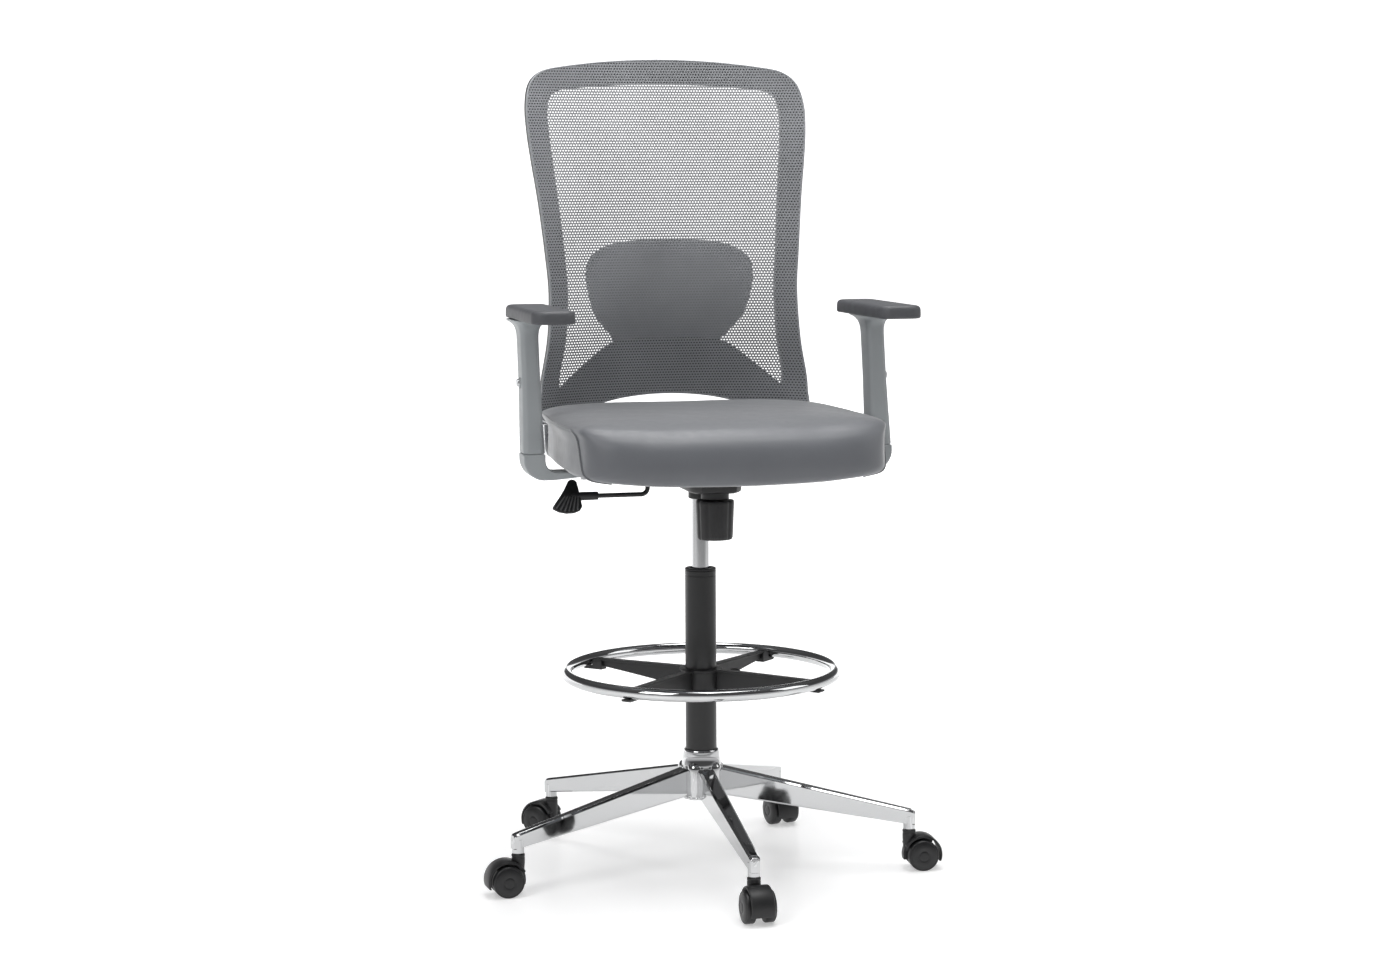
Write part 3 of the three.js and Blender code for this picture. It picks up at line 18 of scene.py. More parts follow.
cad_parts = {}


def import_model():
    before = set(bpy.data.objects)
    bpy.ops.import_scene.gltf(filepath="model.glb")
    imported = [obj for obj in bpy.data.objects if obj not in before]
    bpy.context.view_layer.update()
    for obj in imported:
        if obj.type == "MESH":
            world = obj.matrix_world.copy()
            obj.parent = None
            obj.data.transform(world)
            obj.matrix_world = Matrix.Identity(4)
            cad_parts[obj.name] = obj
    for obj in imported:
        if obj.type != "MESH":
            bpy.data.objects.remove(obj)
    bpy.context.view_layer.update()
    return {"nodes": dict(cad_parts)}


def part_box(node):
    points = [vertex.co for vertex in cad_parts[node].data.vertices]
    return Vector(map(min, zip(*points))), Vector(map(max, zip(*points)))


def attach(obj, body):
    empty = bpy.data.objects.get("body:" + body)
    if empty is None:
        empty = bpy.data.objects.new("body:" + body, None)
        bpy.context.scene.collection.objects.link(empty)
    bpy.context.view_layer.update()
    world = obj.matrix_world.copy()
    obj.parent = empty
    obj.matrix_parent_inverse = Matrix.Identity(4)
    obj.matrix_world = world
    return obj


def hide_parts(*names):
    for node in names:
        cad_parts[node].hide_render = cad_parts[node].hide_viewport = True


Array = np.ndarray
Curve = Callable[[Array], Array]
Profile = Array | Sequence[tuple[float, float]]
LOG = logging.getLogger("drafting_chair")

MM = 0.001
GAP = 0.3
SIDES = (("left", 1.0), ("right", -1.0))


# ---------------------------------------------------------------- surfaces


def grid_faces(rows: int, columns: int, wrap_rows: bool = False, wrap_columns: bool = False) -> Array:
    """Quads over a grid of points numbered row by row.

    Args:
        rows: Number of rows of points.
        columns: Number of points in a row.
        wrap_rows: Whether the last row joins the first.
        wrap_columns: Whether each row closes on itself.

    Returns:
        An array of four point numbers a face.
    """
    row = np.arange(rows if wrap_rows else rows - 1)[:, None]
    column = np.arange(columns if wrap_columns else columns - 1)[None, :]
    next_row = (row + 1) % rows
    next_column = (column + 1) % columns
    corners = (
        row * columns + column,
        row * columns + next_column,
        next_row * columns + next_column,
        next_row * columns + column,
    )
    return np.stack(corners, axis=-1).reshape(-1, 4)


def graded(pairs: Sequence[tuple[float, float]]) -> Curve:
    """A smooth curve through (place, value) pairs: cubic between them, level with its neighbours at each.

    Args:
        pairs: The points, by rising place.

    Returns:
        A function of an array of places; it holds its end values beyond them.
    """
    place, value = np.array(pairs, float).T
    before = np.r_[0, np.arange(len(place) - 1)]
    after = np.r_[np.arange(1, len(place)), len(place) - 1]
    slope = (value[after] - value[before]) / (place[after] - place[before])

    def at(where: Array) -> Array:
        """The curve's value at each place.

        Args:
            where: The places asked for.

        Returns:
            One value for each place.
        """
        where = np.clip(where, place[0], place[-1])
        i = np.clip(np.searchsorted(place, where, side="right") - 1, 0, len(place) - 2)
        span = place[i + 1] - place[i]
        t = (where - place[i]) / span
        rise = t * t * (3 - 2 * t)
        bend = slope[i] * t * (1 - t) ** 2 - slope[i + 1] * t * t * (1 - t)
        return value[i] * (1 - rise) + value[i + 1] * rise + span * bend

    return at


def smooth(value: Array, low: float, high: float) -> Array:
    """Smoothstep: 0 below low, 1 above high and an even S between."""
    t = np.clip((value - low) / (high - low), 0, 1)
    return t * t * (3 - 2 * t)


def arc(radius: float, start: float, end: float, steps: int, centre: tuple[float, float] = (0, 0)) -> Array:
    """Points on an arc of a circle, from one angle to another in degrees."""
    angle = np.radians(np.linspace(start, end, steps + 1))
    return np.stack((centre[0] + radius * np.cos(angle), centre[1] + radius * np.sin(angle)), axis=-1)


def rounded_rectangle(width: float, height: float, corner: float, steps: int = 6) -> Array:
    """A rectangle centred on the origin, its corners quarter circles.

    Args:
        width: Its size along X.
        height: Its size along Y.
        corner: The corners' radius.
        steps: Edges in each quarter circle.

    Returns:
        Points round it, one row each.
    """
    x, y = width / 2 - corner, height / 2 - corner
    places = ((x, -y, -90), (x, y, 0), (-x, y, 90), (-x, -y, 180))
    return np.concatenate([arc(corner, start, start + 90, steps, (cx, cy)) for cx, cy, start in places])


def turned(profile: Profile, sides: int = 64) -> Array:
    """A surface of revolution about Z: each (radius, z) of the profile carried round a full circle.

    Args:
        profile: The (radius, z) pairs.
        sides: Points round the circle.

    Returns:
        A grid of profile points by sides; its columns close on themselves.
    """
    radius, z = np.array(profile, float).T
    angle = np.linspace(0, 2 * np.pi, sides, endpoint=False)
    x = radius[:, None] * np.cos(angle)
    y = radius[:, None] * np.sin(angle)
    return np.stack((x, y, np.broadcast_to(z[:, None], x.shape)), axis=-1)


def tube(path: Array, radius: float | Array, sides: int = 16, closed: bool = False) -> Array:
    """A circle carried along a path, kept square to it and turned as little as possible on the way.

    Args:
        path: Points along the middle, one row each.
        radius: The radius, one number or one for each point.
        sides: Points round the circle.
        closed: Whether the path returns to its start.

    Returns:
        A grid of path points by sides.
    """
    step = (np.roll(path, -1, 0) - np.roll(path, 1, 0)) if closed else np.gradient(path, axis=0)
    tangent = step / np.linalg.norm(step, axis=1, keepdims=True)
    aside = np.cross(tangent[0], (0.0, 0.0, 1.0))
    if np.linalg.norm(aside) < 1e-3:
        aside = np.cross(tangent[0], (0.0, 1.0, 0.0))
    asides = []
    for direction in tangent:
        aside = aside - direction * aside.dot(direction)
        aside = aside / np.linalg.norm(aside)
        asides.append(aside)
    across = np.array(asides)
    up = np.cross(tangent, across)
    angle = np.linspace(0, 2 * np.pi, sides, endpoint=False)
    reach = np.broadcast_to(np.asarray(radius, float), len(path))[:, None, None]
    ring = across[:, None] * np.cos(angle)[None, :, None] + up[:, None] * np.sin(angle)[None, :, None]
    return path[:, None] + reach * ring


def rounded_path(corners: Sequence[tuple[float, float, float]], radius: float, steps: int = 8) -> Array:
    """A polyline whose corners are turned into smooth bends.

    Args:
        corners: The points of the polyline, ends included.
        radius: How far from each corner its bend starts.
        steps: Points in each bend.

    Returns:
        Points along the path.
    """
    points = np.array(corners, float)
    parts = [points[:1]]
    t = np.linspace(0, 1, steps + 1)[:, None]
    for before, corner, after in zip(points, points[1:], points[2:]):
        start = corner + radius * (before - corner) / np.linalg.norm(before - corner)
        end = corner + radius * (after - corner) / np.linalg.norm(after - corner)
        parts.append((1 - t) ** 2 * start + 2 * t * (1 - t) * corner + t * t * end)
    parts.append(points[-1:])
    return np.concatenate(parts)


def spin(points: Array, degrees: float) -> Array:
    """Points turned about the Z axis."""
    turn = np.array(Matrix.Rotation(math.radians(degrees), 3, "Z"))
    return points @ turn.T


# ---------------------------------------------------------------- finishes


class Shader:
    """A material under construction, with its principled shader and short ways to add nodes to it."""

    def __init__(self, name: str, colour: tuple[float, float, float], roughness: float, metallic: float) -> None:
        """Starts a material of one colour, on which texture is then laid.

        Args:
            name: The material's name.
            colour: Its base colour, linear.
            roughness: Its roughness before any texture.
            metallic: 1 for bare metal, 0 for the rest.
        """
        self.material = bpy.data.materials.new(name)
        self.material.use_nodes = True
        self.material.diffuse_color = (*colour, 1)
        self.tree = self.material.node_tree
        self.surface = self.tree.nodes["Principled BSDF"]
        self.surface.inputs["Base Color"].default_value = (*colour, 1)
        self.surface.inputs["Roughness"].default_value = roughness
        self.surface.inputs["Metallic"].default_value = metallic
        self.place = self.tree.nodes.new("ShaderNodeTexCoord").outputs["Object"]

    def noise(self, scale: float, detail: float = 2.0) -> bpy.types.NodeSocket:
        """Even noise of so many lumps a metre.

        Args:
            scale: Lumps a metre.
            detail: How many finer layers lie on the lumps.

        Returns:
            The noise, about 0.5.
        """
        node = self.tree.nodes.new("ShaderNodeTexNoise")
        node.inputs["Scale"].default_value = scale
        node.inputs["Detail"].default_value = detail
        self.tree.links.new(self.place, node.inputs["Vector"])
        return node.outputs["Fac"]

    def cells(self, scale: float) -> bpy.types.NodeSocket:
        """Distance to the nearest of so many cell middles a metre.

        Args:
            scale: Cells a metre.

        Returns:
            The distance, in shares of a cell.
        """
        node = self.tree.nodes.new("ShaderNodeTexVoronoi")
        node.inputs["Scale"].default_value = scale
        self.tree.links.new(self.place, node.inputs["Vector"])
        return node.outputs["Distance"]

    def between(self, value: bpy.types.NodeSocket, low: float, high: float) -> bpy.types.NodeSocket:
        """The middle of a noise stretched to run from low to high.

        Args:
            value: The noise.
            low: The value at its low end.
            high: The value at its high end.

        Returns:
            The stretched noise.
        """
        node = self.tree.nodes.new("ShaderNodeMapRange")
        node.inputs["From Min"].default_value = 0.3
        node.inputs["From Max"].default_value = 0.7
        node.inputs["To Min"].default_value = low
        node.inputs["To Max"].default_value = high
        self.tree.links.new(value, node.inputs["Value"])
        return node.outputs["Result"]

    def ramp(self, start: float, end: float, low: float, high: float) -> bpy.types.NodeSocket:
        """A value that runs from low to high between two places along Y, level beyond them.

        Args:
            start: The Y where it starts to change.
            end: The Y where it stops.
            low: Its value up to the start.
            high: Its value from the end on.

        Returns:
            The value.
        """
        split = self.tree.nodes.new("ShaderNodeSeparateXYZ")
        node = self.tree.nodes.new("ShaderNodeMapRange")
        for name, value in (("From Min", start), ("From Max", end), ("To Min", low), ("To Max", high)):
            node.inputs[name].default_value = value
        self.tree.links.new(self.place, split.inputs["Vector"])
        self.tree.links.new(split.outputs["Y"], node.inputs["Value"])
        return node.outputs["Result"]

    def tint(self, value: bpy.types.NodeSocket, dark: tuple, light: tuple) -> None:
        """Runs the base colour from dark to light by a noise.

        Args:
            value: The noise.
            dark: The colour at its low end.
            light: The colour at its high end.
        """
        node = self.tree.nodes.new("ShaderNodeMix")
        node.data_type = "RGBA"
        node.inputs["A"].default_value = (*dark, 1)
        node.inputs["B"].default_value = (*light, 1)
        self.tree.links.new(self.between(value, 0, 1), node.inputs["Factor"])
        self.tree.links.new(node.outputs["Result"], self.surface.inputs["Base Color"])

    def bump(self, height: bpy.types.NodeSocket, strength: float, depth_mm: float) -> None:
        """Raises the surface by a height, on top of any bump laid before.

        Args:
            height: The pattern that is raised.
            strength: How much of the relief is kept.
            depth_mm: The depth of the relief.
        """
        node = self.tree.nodes.new("ShaderNodeBump")
        node.inputs["Strength"].default_value = strength
        node.inputs["Distance"].default_value = depth_mm * MM
        self.tree.links.new(height, node.inputs["Height"])
        before = self.surface.inputs["Normal"].links
        if before:
            self.tree.links.new(before[0].from_socket, node.inputs["Normal"])
        self.tree.links.new(node.outputs["Normal"], self.surface.inputs["Normal"])

    def rough(self, value: bpy.types.NodeSocket, low: float, high: float) -> None:
        """Runs the roughness from low to high by a noise."""
        self.tree.links.new(self.between(value, low, high), self.surface.inputs["Roughness"])


@dataclass(frozen=True)
class Finish:
    """A finish: one base colour with a slight drift, and the texture that a subclass lays on it."""

    name: str
    colour: tuple[float, float, float]
    roughness: float = 0.5
    metallic: float = 0.0
    drift: float = 0.05

    def material(self) -> bpy.types.Material:
        """The finish's material, made the first time that it is asked for."""
        made = bpy.data.materials.get(self.name)
        if made:
            return made
        shader = Shader(self.name, self.colour, self.roughness, self.metallic)
        dark = tuple(c * (1 - self.drift) for c in self.colour)
        light = tuple(c * (1 + self.drift) for c in self.colour)
        shader.tint(shader.noise(9, 3), dark, light)
        self.lay(shader)
        return shader.material

    def lay(self, shader: Shader) -> None:
        """Lays the finish's own texture; a plain finish only varies its gloss."""
        shader.rough(shader.noise(30), self.roughness * 0.9, self.roughness * 1.1)


@dataclass(frozen=True)
class Polished(Finish):
    """Polished plated metal: a mirror with faint waves from the buffing wheel."""

    metallic: float = 1.0
    drift: float = 0.01

    def lay(self, shader: Shader) -> None:
        """Varies the polish and adds shallow waves."""
        shader.rough(shader.noise(45, 4), self.roughness * 0.7, self.roughness * 1.5)
        shader.bump(shader.noise(28), 0.05, 0.3)


@dataclass(frozen=True)
class Brushed(Finish):
    """Machined steel with a satin grain."""

    metallic: float = 1.0

    def lay(self, shader: Shader) -> None:
        """Adds a fine grain and uneven gloss."""
        shader.rough(shader.noise(120, 4), self.roughness * 0.8, self.roughness * 1.2)
        shader.bump(shader.noise(1400), 0.15, 0.05)


@dataclass(frozen=True)
class PowderCoat(Finish):
    """Powder-coated metal with a faint orange peel."""

    def lay(self, shader: Shader) -> None:
        """Adds the peel and a slow change of gloss."""
        shader.rough(shader.noise(20), self.roughness * 0.9, self.roughness * 1.12)
        shader.bump(shader.noise(420), 0.12, 0.12)


@dataclass(frozen=True)
class Moulded(Finish):
    """Moulded plastic with the fine spark grain of its mould."""

    grain: float = 0.2

    def lay(self, shader: Shader) -> None:
        """Adds the grain in two sizes.

        Args:
            shader: The material under construction.
        """
        shader.rough(shader.noise(60, 3), self.roughness * 0.92, self.roughness * 1.08)
        shader.bump(shader.noise(1100, 3), self.grain, 0.12)
        shader.bump(shader.cells(900), self.grain * 0.5, 0.08)


@dataclass(frozen=True)
class Leather(Finish):
    """Coated leather cloth with a pebbled grain and soft creases."""

    def lay(self, shader: Shader) -> None:
        """Adds pebbles, finer pores between them and uneven gloss.

        Args:
            shader: The material under construction.
        """
        shader.surface.inputs["Sheen Weight"].default_value = 0.45
        shader.surface.inputs["Sheen Roughness"].default_value = 0.45
        shader.rough(shader.noise(70, 3), self.roughness * 0.9, self.roughness * 1.12)
        shader.bump(shader.cells(520), 0.16, 0.25)
        shader.bump(shader.noise(1300, 3), 0.12, 0.1)


@dataclass(frozen=True)
class Yarn(Finish):
    """Knitted polyester yarn: fibres with a dull sheen."""

    drift: float = 0.1

    def lay(self, shader: Shader) -> None:
        """Adds the fibres' relief and sheen.

        Args:
            shader: The material under construction.
        """
        shader.surface.inputs["Sheen Weight"].default_value = 0.15
        shader.surface.inputs["Sheen Roughness"].default_value = 0.5
        shader.rough(shader.noise(300), self.roughness * 0.92, self.roughness * 1.05)
        shader.bump(shader.noise(2200, 3), 0.3, 0.1)


class Finishes(Enum):
    """The chair's finishes."""

    CHROME = Polished("chrome_plate", (0.57, 0.575, 0.58), 0.05)
    CYLINDER = Polished("cylinder_chrome", (0.6, 0.605, 0.61), 0.09)
    STEEL = Brushed("satin_steel", (0.55, 0.56, 0.57), 0.38)
    ALUMINIUM = Brushed("strut_aluminium", (0.62, 0.63, 0.64), 0.3)
    COLUMN = PowderCoat("column_black", (0.011, 0.011, 0.0115), 0.34)
    MECHANISM = PowderCoat("mechanism_black", (0.011, 0.011, 0.0115), 0.5)
    BLACK_PLASTIC = Moulded("black_nylon", (0.011, 0.0111, 0.0118), 0.46)
    WHEEL = Moulded("wheel_black", (0.008, 0.0081, 0.0088), 0.4, grain=0.08)
    GREY_PLASTIC = Moulded("grey_nylon", (0.3, 0.318, 0.328), 0.46)
    FRAME = Moulded("frame_grey", (0.05, 0.052, 0.055), 0.5)
    # Painted highlight: the ribs are the blade's black plastic, given this paler grey to stand in for light on their
    # crests.
    RIB_HIGHLIGHT = Moulded("rib_painted_highlight", (0.12, 0.12, 0.122), 0.4)
    PAD = Moulded("pad_grey", (0.07, 0.072, 0.079), 0.55, grain=0.3)
    LUMBAR = Moulded("lumbar_grey", (0.2, 0.205, 0.213), 0.55)
    LEATHER = Leather("seat_leather", (0.118, 0.124, 0.136), 0.45)
    PIPING = Leather("piping_leather", (0.1, 0.106, 0.115), 0.45)
    YARN = Yarn("mesh_yarn", (0.245, 0.252, 0.265), 0.72)
    WELT = Yarn("welt_yarn", (0.32, 0.33, 0.345), 0.75)


# ---------------------------------------------------------------- forms


@dataclass
class Form:
    """Surfaces gathered into one mesh.

    Attributes:
        name: The piece's name.
        origin: Where the column's axis meets the floor, in the frame's metres.
    """

    name: str
    origin: Array
    points: list[Array] = field(default_factory=list)
    faces: list[list[int]] = field(default_factory=list)
    size: int = 0

    def add_faces(self, points: Array, faces: Sequence[Sequence[int]]) -> "Form":
        """Adds points with the faces between them, numbered from these points' own start.

        Args:
            points: The points, in any grid.
            faces: Point numbers of each face.

        Returns:
            The form, so that calls can follow each other.
        """
        self.points.append(points.reshape(-1, 3))
        self.faces.extend([[self.size + i for i in face] for face in faces])
        self.size += len(self.points[-1])
        return self

    def add(self, grid: Array, rows_close: bool = False, columns_close: bool = True, caps: bool = True) -> "Form":
        """Adds a grid of points as a surface.

        Args:
            grid: Rows of points.
            rows_close: Whether the last row joins the first.
            columns_close: Whether each row is a ring.
            caps: Whether the first and last rings are closed with a face each.

        Returns:
            The form, so that calls can follow each other.
        """
        rows, columns = grid.shape[:2]
        faces = grid_faces(rows, columns, rows_close, columns_close).tolist()
        if caps and columns_close and not rows_close:
            faces.append(list(range(columns))[::-1])
            faces.append(list(range((rows - 1) * columns, rows * columns)))
        return self.add_faces(grid, faces)

    def add_turned(
        self, profile: Profile, x: float = 0, y: float = 0, sides: int = 64, closed: bool = False
    ) -> "Form":
        """Adds a body turned about the vertical through (x, y); closed for a profile that is a loop."""
        return self.add(turned(profile, sides) + (x, y, 0), rows_close=closed)

    def add_across(self, profile: Profile, start: Array, direction: Array, sides: int = 48) -> "Form":
        """Adds a turned body whose axis runs from a point in a direction; z becomes distance along it."""
        turn = Vector((0, 0, 1)).rotation_difference(Vector(direction)).to_matrix()
        return self.add(turned(profile, sides) @ np.array(turn).T + np.asarray(start, float))

    def add_slab(self, front: Array, back: Array) -> "Form":
        """Adds a sheet with two grids of points as its faces, walled round the edge.

        Args:
            front: The points of one face.
            back: The points of the other, in the same order.

        Returns:
            The form, so that calls can follow each other.
        """
        rows, columns = front.shape[:2]
        near = grid_faces(rows, columns)
        far = near[:, ::-1] + rows * columns
        edge = np.concatenate((
            np.arange(columns),
            np.arange(1, rows) * columns + columns - 1,
            (rows - 1) * columns + np.arange(columns - 2, -1, -1),
            np.arange(rows - 2, 0, -1) * columns,
        ))
        following = np.roll(edge, -1)
        wall = np.stack((following, edge, edge + rows * columns, following + rows * columns), axis=-1)
        both = np.concatenate((front.reshape(-1, 3), back.reshape(-1, 3)))
        return self.add_faces(both, np.concatenate((near, far, wall)).tolist())

    def build(
        self,
        finish: Finishes,
        body: str,
        slot: str,
        replaces: Sequence[str] = (),
        bevel_mm: float = 0.0,
        sharp: float = 34.0,
        open_sheet: bool = False,
    ) -> bpy.types.Object:
        """Makes the mesh, dresses it and sets it on its body.

        Args:
            finish: What it is finished in.
            body: The CAD body it rides on.
            slot: The record's material slot; not used.
            replaces: The CAD nodes it stands for.
            bevel_mm: Rounding of its sharp edges, none at 0.
            sharp: Edges bent by more than this many degrees stay crisp.
            open_sheet: Whether it is a sheet with edges, whose faces keep the side they were given.

        Returns:
            The finished object.
        """
        mesh = bpy.data.meshes.new(self.name)
        placed = np.concatenate(self.points) * MM + self.origin
        mesh.from_pydata(placed.tolist(), [], self.faces)
        work = bmesh.new()
        work.from_mesh(mesh)
        bmesh.ops.remove_doubles(work, verts=work.verts, dist=1e-6)
        bmesh.ops.dissolve_degenerate(work, edges=work.edges, dist=1e-7)
        if not open_sheet:
            bmesh.ops.recalc_face_normals(work, faces=work.faces)
        work.to_mesh(mesh)
        work.free()
        mesh.materials.append(finish.value.material())
        mesh.shade_smooth()
        mesh.set_sharp_from_angle(angle=math.radians(sharp))
        made = bpy.data.objects.new(self.name, mesh)
        bpy.context.scene.collection.objects.link(made)
        if bevel_mm:
            rounding = made.modifiers.new("edges", "BEVEL")
            rounding.width = bevel_mm * MM
            rounding.segments = 3
            rounding.limit_method = "ANGLE"
            rounding.angle_limit = math.radians(sharp)
            rounding.harden_normals = False
        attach(made, body)
        if replaces:
            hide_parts(*replaces)
        LOG.info("%s: %d faces on %s", self.name, len(mesh.polygons), body)
        return made


@dataclass
class Assembly:
    """A sub-assembly of the chair, built round the column's foot."""

    origin: Array

    def form(self, name: str) -> Form:
        """An empty form at this chair's column."""
        return Form(name, self.origin)


# ---------------------------------------------------------------- base


@dataclass
class StarBase(Assembly):
    """The polished five-legged casting: fluted hub, tapering legs and a castor socket under each tip."""

    legs: int = 5
    first_leg: float = -90.0
    reach: float = 346.0
    castor_circle: float = 336.0
    hub_radius: float = 33.0
    bore: float = 25.3
    foot: float = 115.0
    shoulder: float = 168.0
    top: float = 195.0
    socket_radius: float = 9.5
    lobe_circle: float = 24.5
    rib_circle: float = 31.5
    rib_aside: float = 24.0
    socket_foot: float = 66.0

    @property
    def angles(self) -> list[float]:
        """Each leg's direction in degrees, front leg first."""
        return [self.first_leg + 360 * i / self.legs for i in range(self.legs)]

    def leg(self) -> Array:
        """Sections across a leg along +X, tapering evenly from hub to tip, with its end rounded over."""
        along = np.array([22, 60, 130, 200, 270, 336, 343, 345.4, self.reach])
        share = (along - self.hub_radius) / (self.reach - self.hub_radius)
        ease = np.array([0, 0, 0, 0, 0, 0, 0.4, 1.4, 3.2])
        half = 13.5 + (8.75 - 13.5) * share - ease
        top = 166 + (96.5 - 166) * share - ease
        bottom = 121 + (73 - 121) * share
        shelf = 3.6
        across = np.stack((-half + 1.5, -half, -half, -half + shelf, half - shelf, half, half, half - 1.5), axis=-1)
        low = np.stack((bottom, bottom + 2), axis=-1)
        high = np.stack((top - shelf * 0.8, top), axis=-1)
        z = np.concatenate((low, high, high[:, ::-1], low[:, ::-1]), axis=1)
        return np.stack((np.broadcast_to(along[:, None], z.shape), across, z), axis=-1)

    def hub(self, form: Form) -> None:
        """Adds the hub's ring with its stepped neck, and the lobes and ribs between the legs.

        Args:
            form: The form to add to.
        """
        ring = [
            (self.bore, self.foot + 2), (self.hub_radius - 1.5, self.foot), (self.hub_radius, self.foot + 1.5),
            (self.hub_radius, self.shoulder), (self.hub_radius - 0.8, self.shoulder + 4), (30.8, 177), (30, 180),
            (29.4, 186), (29.2, 191), (28.7, 193.6), (27.6, 194.8), (26.4, self.top), (self.bore, self.top - 0.8),
        ]
        form.add_turned(ring, sides=120, closed=True)
        lobe = [(0, 116), (13, 116), (14.6, 117.2), (14.6, 119.4), (13.8, 120.4), (13.8, 163), (13, 168), (10.5, 172.5),
                (6, 175.6), (0, 176.6)]
        rib = [(0, 116), (4.2, 116), (4.6, 117), (4.6, 164), (3.6, 168), (0, 170)]
        for angle in self.angles:
            middle = math.radians(angle + 180 / self.legs)
            form.add_turned(lobe, self.lobe_circle * math.cos(middle), self.lobe_circle * math.sin(middle), 40)
            for aside in (-self.rib_aside, self.rib_aside):
                place = middle + math.radians(aside)
                form.add_turned(rib, self.rib_circle * math.cos(place), self.rib_circle * math.sin(place), 20)

    def build(self) -> None:
        """Builds and dresses the casting."""
        hub = self.form("star_base_hub")
        self.hub(hub)
        hub.build(Finishes.CHROME, "base", "polished_metal", ["star_base"])
        socket = [(0, self.socket_foot), (self.socket_radius - 0.9, self.socket_foot),
                  (self.socket_radius, self.socket_foot + 0.9), (self.socket_radius, 88), (0, 88)]
        for number, angle in enumerate(self.angles, 1):
            leg = self.form(f"star_base_leg_{number}")
            leg.add(spin(self.leg(), angle))
            leg.build(Finishes.CHROME, "base", "polished_metal", bevel_mm=0.9, sharp=24)
            under = self.form(f"castor_socket_{number}")
            place = math.radians(angle)
            under.add_turned(socket, self.castor_circle * math.cos(place), self.castor_circle * math.sin(place), 40)
            under.build(Finishes.CHROME, "base", "polished_metal")


@dataclass
class Castor(Assembly):
    """A twin-wheel castor: curved hood over two domed wheels, on a stem under a leg's tip."""

    number: int = 1
    angle: float = -90.0
    heading: float = 0.0
    circle: float = 336.0
    trail: float = 20.0
    wheel_radius: float = 25.0
    inner_face: float = 8.0
    hood_radius: float = 32.0
    hood_half_width: float = 18.5

    def place(self, points: Array) -> Array:
        """Moves points from the castor's own frame, stem at the origin and trail along +X, to under its leg."""
        at = math.radians(self.angle)
        return spin(points, self.heading) + (self.circle * math.cos(at), self.circle * math.sin(at), 0)

    def cover(self) -> Array:
        """The hood's curved shell: a shallow arch section carried round the axle, drawn in at its two ends."""
        wide, rise = self.hood_half_width, self.hood_radius
        outer = [(-wide, rise - 3.2), (-wide, rise - 2.2), (-wide + 0.9, rise - 0.7), (-wide + 2.6, rise)]
        section = np.array(outer + [(-x, r) for x, r in outer[::-1]])
        inner = np.array([(wide - 2.4, rise - 3.2), (-wide + 2.4, rise - 3.2)])
        loop = np.concatenate((section, inner))
        turn = np.radians(np.concatenate(([-20, -19.2], np.linspace(-17, 149, 40), [151.2, 152])))
        shrink = np.concatenate(([1.2, 0.4], np.zeros(40), [0.4, 1.2]))
        reach = loop[None, :, 1] - np.where(loop[None, :, 1] > rise - 3, shrink[:, None], 0)
        x = self.trail + reach * np.cos(turn)[:, None]
        z = self.wheel_radius + reach * np.sin(turn)[:, None]
        return np.stack((x, np.broadcast_to(loop[None, :, 0], x.shape), z), axis=-1)

    def hood(self) -> None:
        """Builds the hood with its web, neck and collar."""
        form = self.form(f"castor_{self.number}_hood_shell")
        form.add(self.place(self.cover()))
        web = np.concatenate((arc(30.5, 52, 196, 18), [(-9.5, -7.5), (0, -10), (8, -6), (9.5, 0)]))
        web = web + (self.trail, self.wheel_radius)
        rings = [np.insert(web, 1, y, axis=1) for y in (-6.7, 6.7)]
        form.add(self.place(np.stack(rings)))
        neck = [(0, 31), (9.6, 31), (9.8, 44), (10.5, 52), (10.5, 59), (9.9, 59.6), (9.9, 60.6), (10.6, 61.2),
                (10.6, 64.2), (9.8, 65), (0, 65)]
        form.add(self.place(turned(neck, 40)))
        form.build(Finishes.BLACK_PLASTIC, f"castor_{self.number}", "black_plastic", [f"castor_{self.number}_hood"],
                   bevel_mm=0.5)

    def wheel(self, side: str, sign: float) -> None:
        """Builds one wheel: rounded tread, a groove, and a domed disc with a hub cap.

        Args:
            side: Left or right, as in the names of parts.
            sign: 1 for the left wheel and -1 for the right.
        """
        radius = self.wheel_radius
        profile = [
            (0, 0.2), (radius - 2, 0.2), (radius - 0.6, 0.9), (radius, 2.2), (radius, 12.6), (radius - 0.4, 14.2),
            (radius - 1.5, 15.2), (radius - 2.4, 15.3), (radius - 2.6, 14.7), (radius - 3.2, 14.7),
            (radius - 3.4, 15.5), (radius - 5, 16.3), (radius - 10, 17.2), (9, 17.8), (8.4, 17.4), (7.8, 17.8),
            (4, 18), (0, 18),
        ]
        round_axle = turned(profile, 56)
        along = round_axle[..., 2] + self.inner_face
        wheel = np.stack(
            (self.trail + round_axle[..., 0], sign * along, self.wheel_radius + round_axle[..., 1]), axis=-1)
        form = self.form(f"castor_{self.number}_wheel_{side}_shape")
        form.add(self.place(wheel))
        form.build(Finishes.WHEEL, f"castor_{self.number}_{side}", "black_plastic",
                   [f"castor_{self.number}_wheel_{side}"], sharp=40)

    def build(self) -> None:
        """Builds the hood and both wheels."""
        self.hood()
        for side, sign in SIDES:
            self.wheel(side, sign)


# ---------------------------------------------------------------- column, lift and foot ring


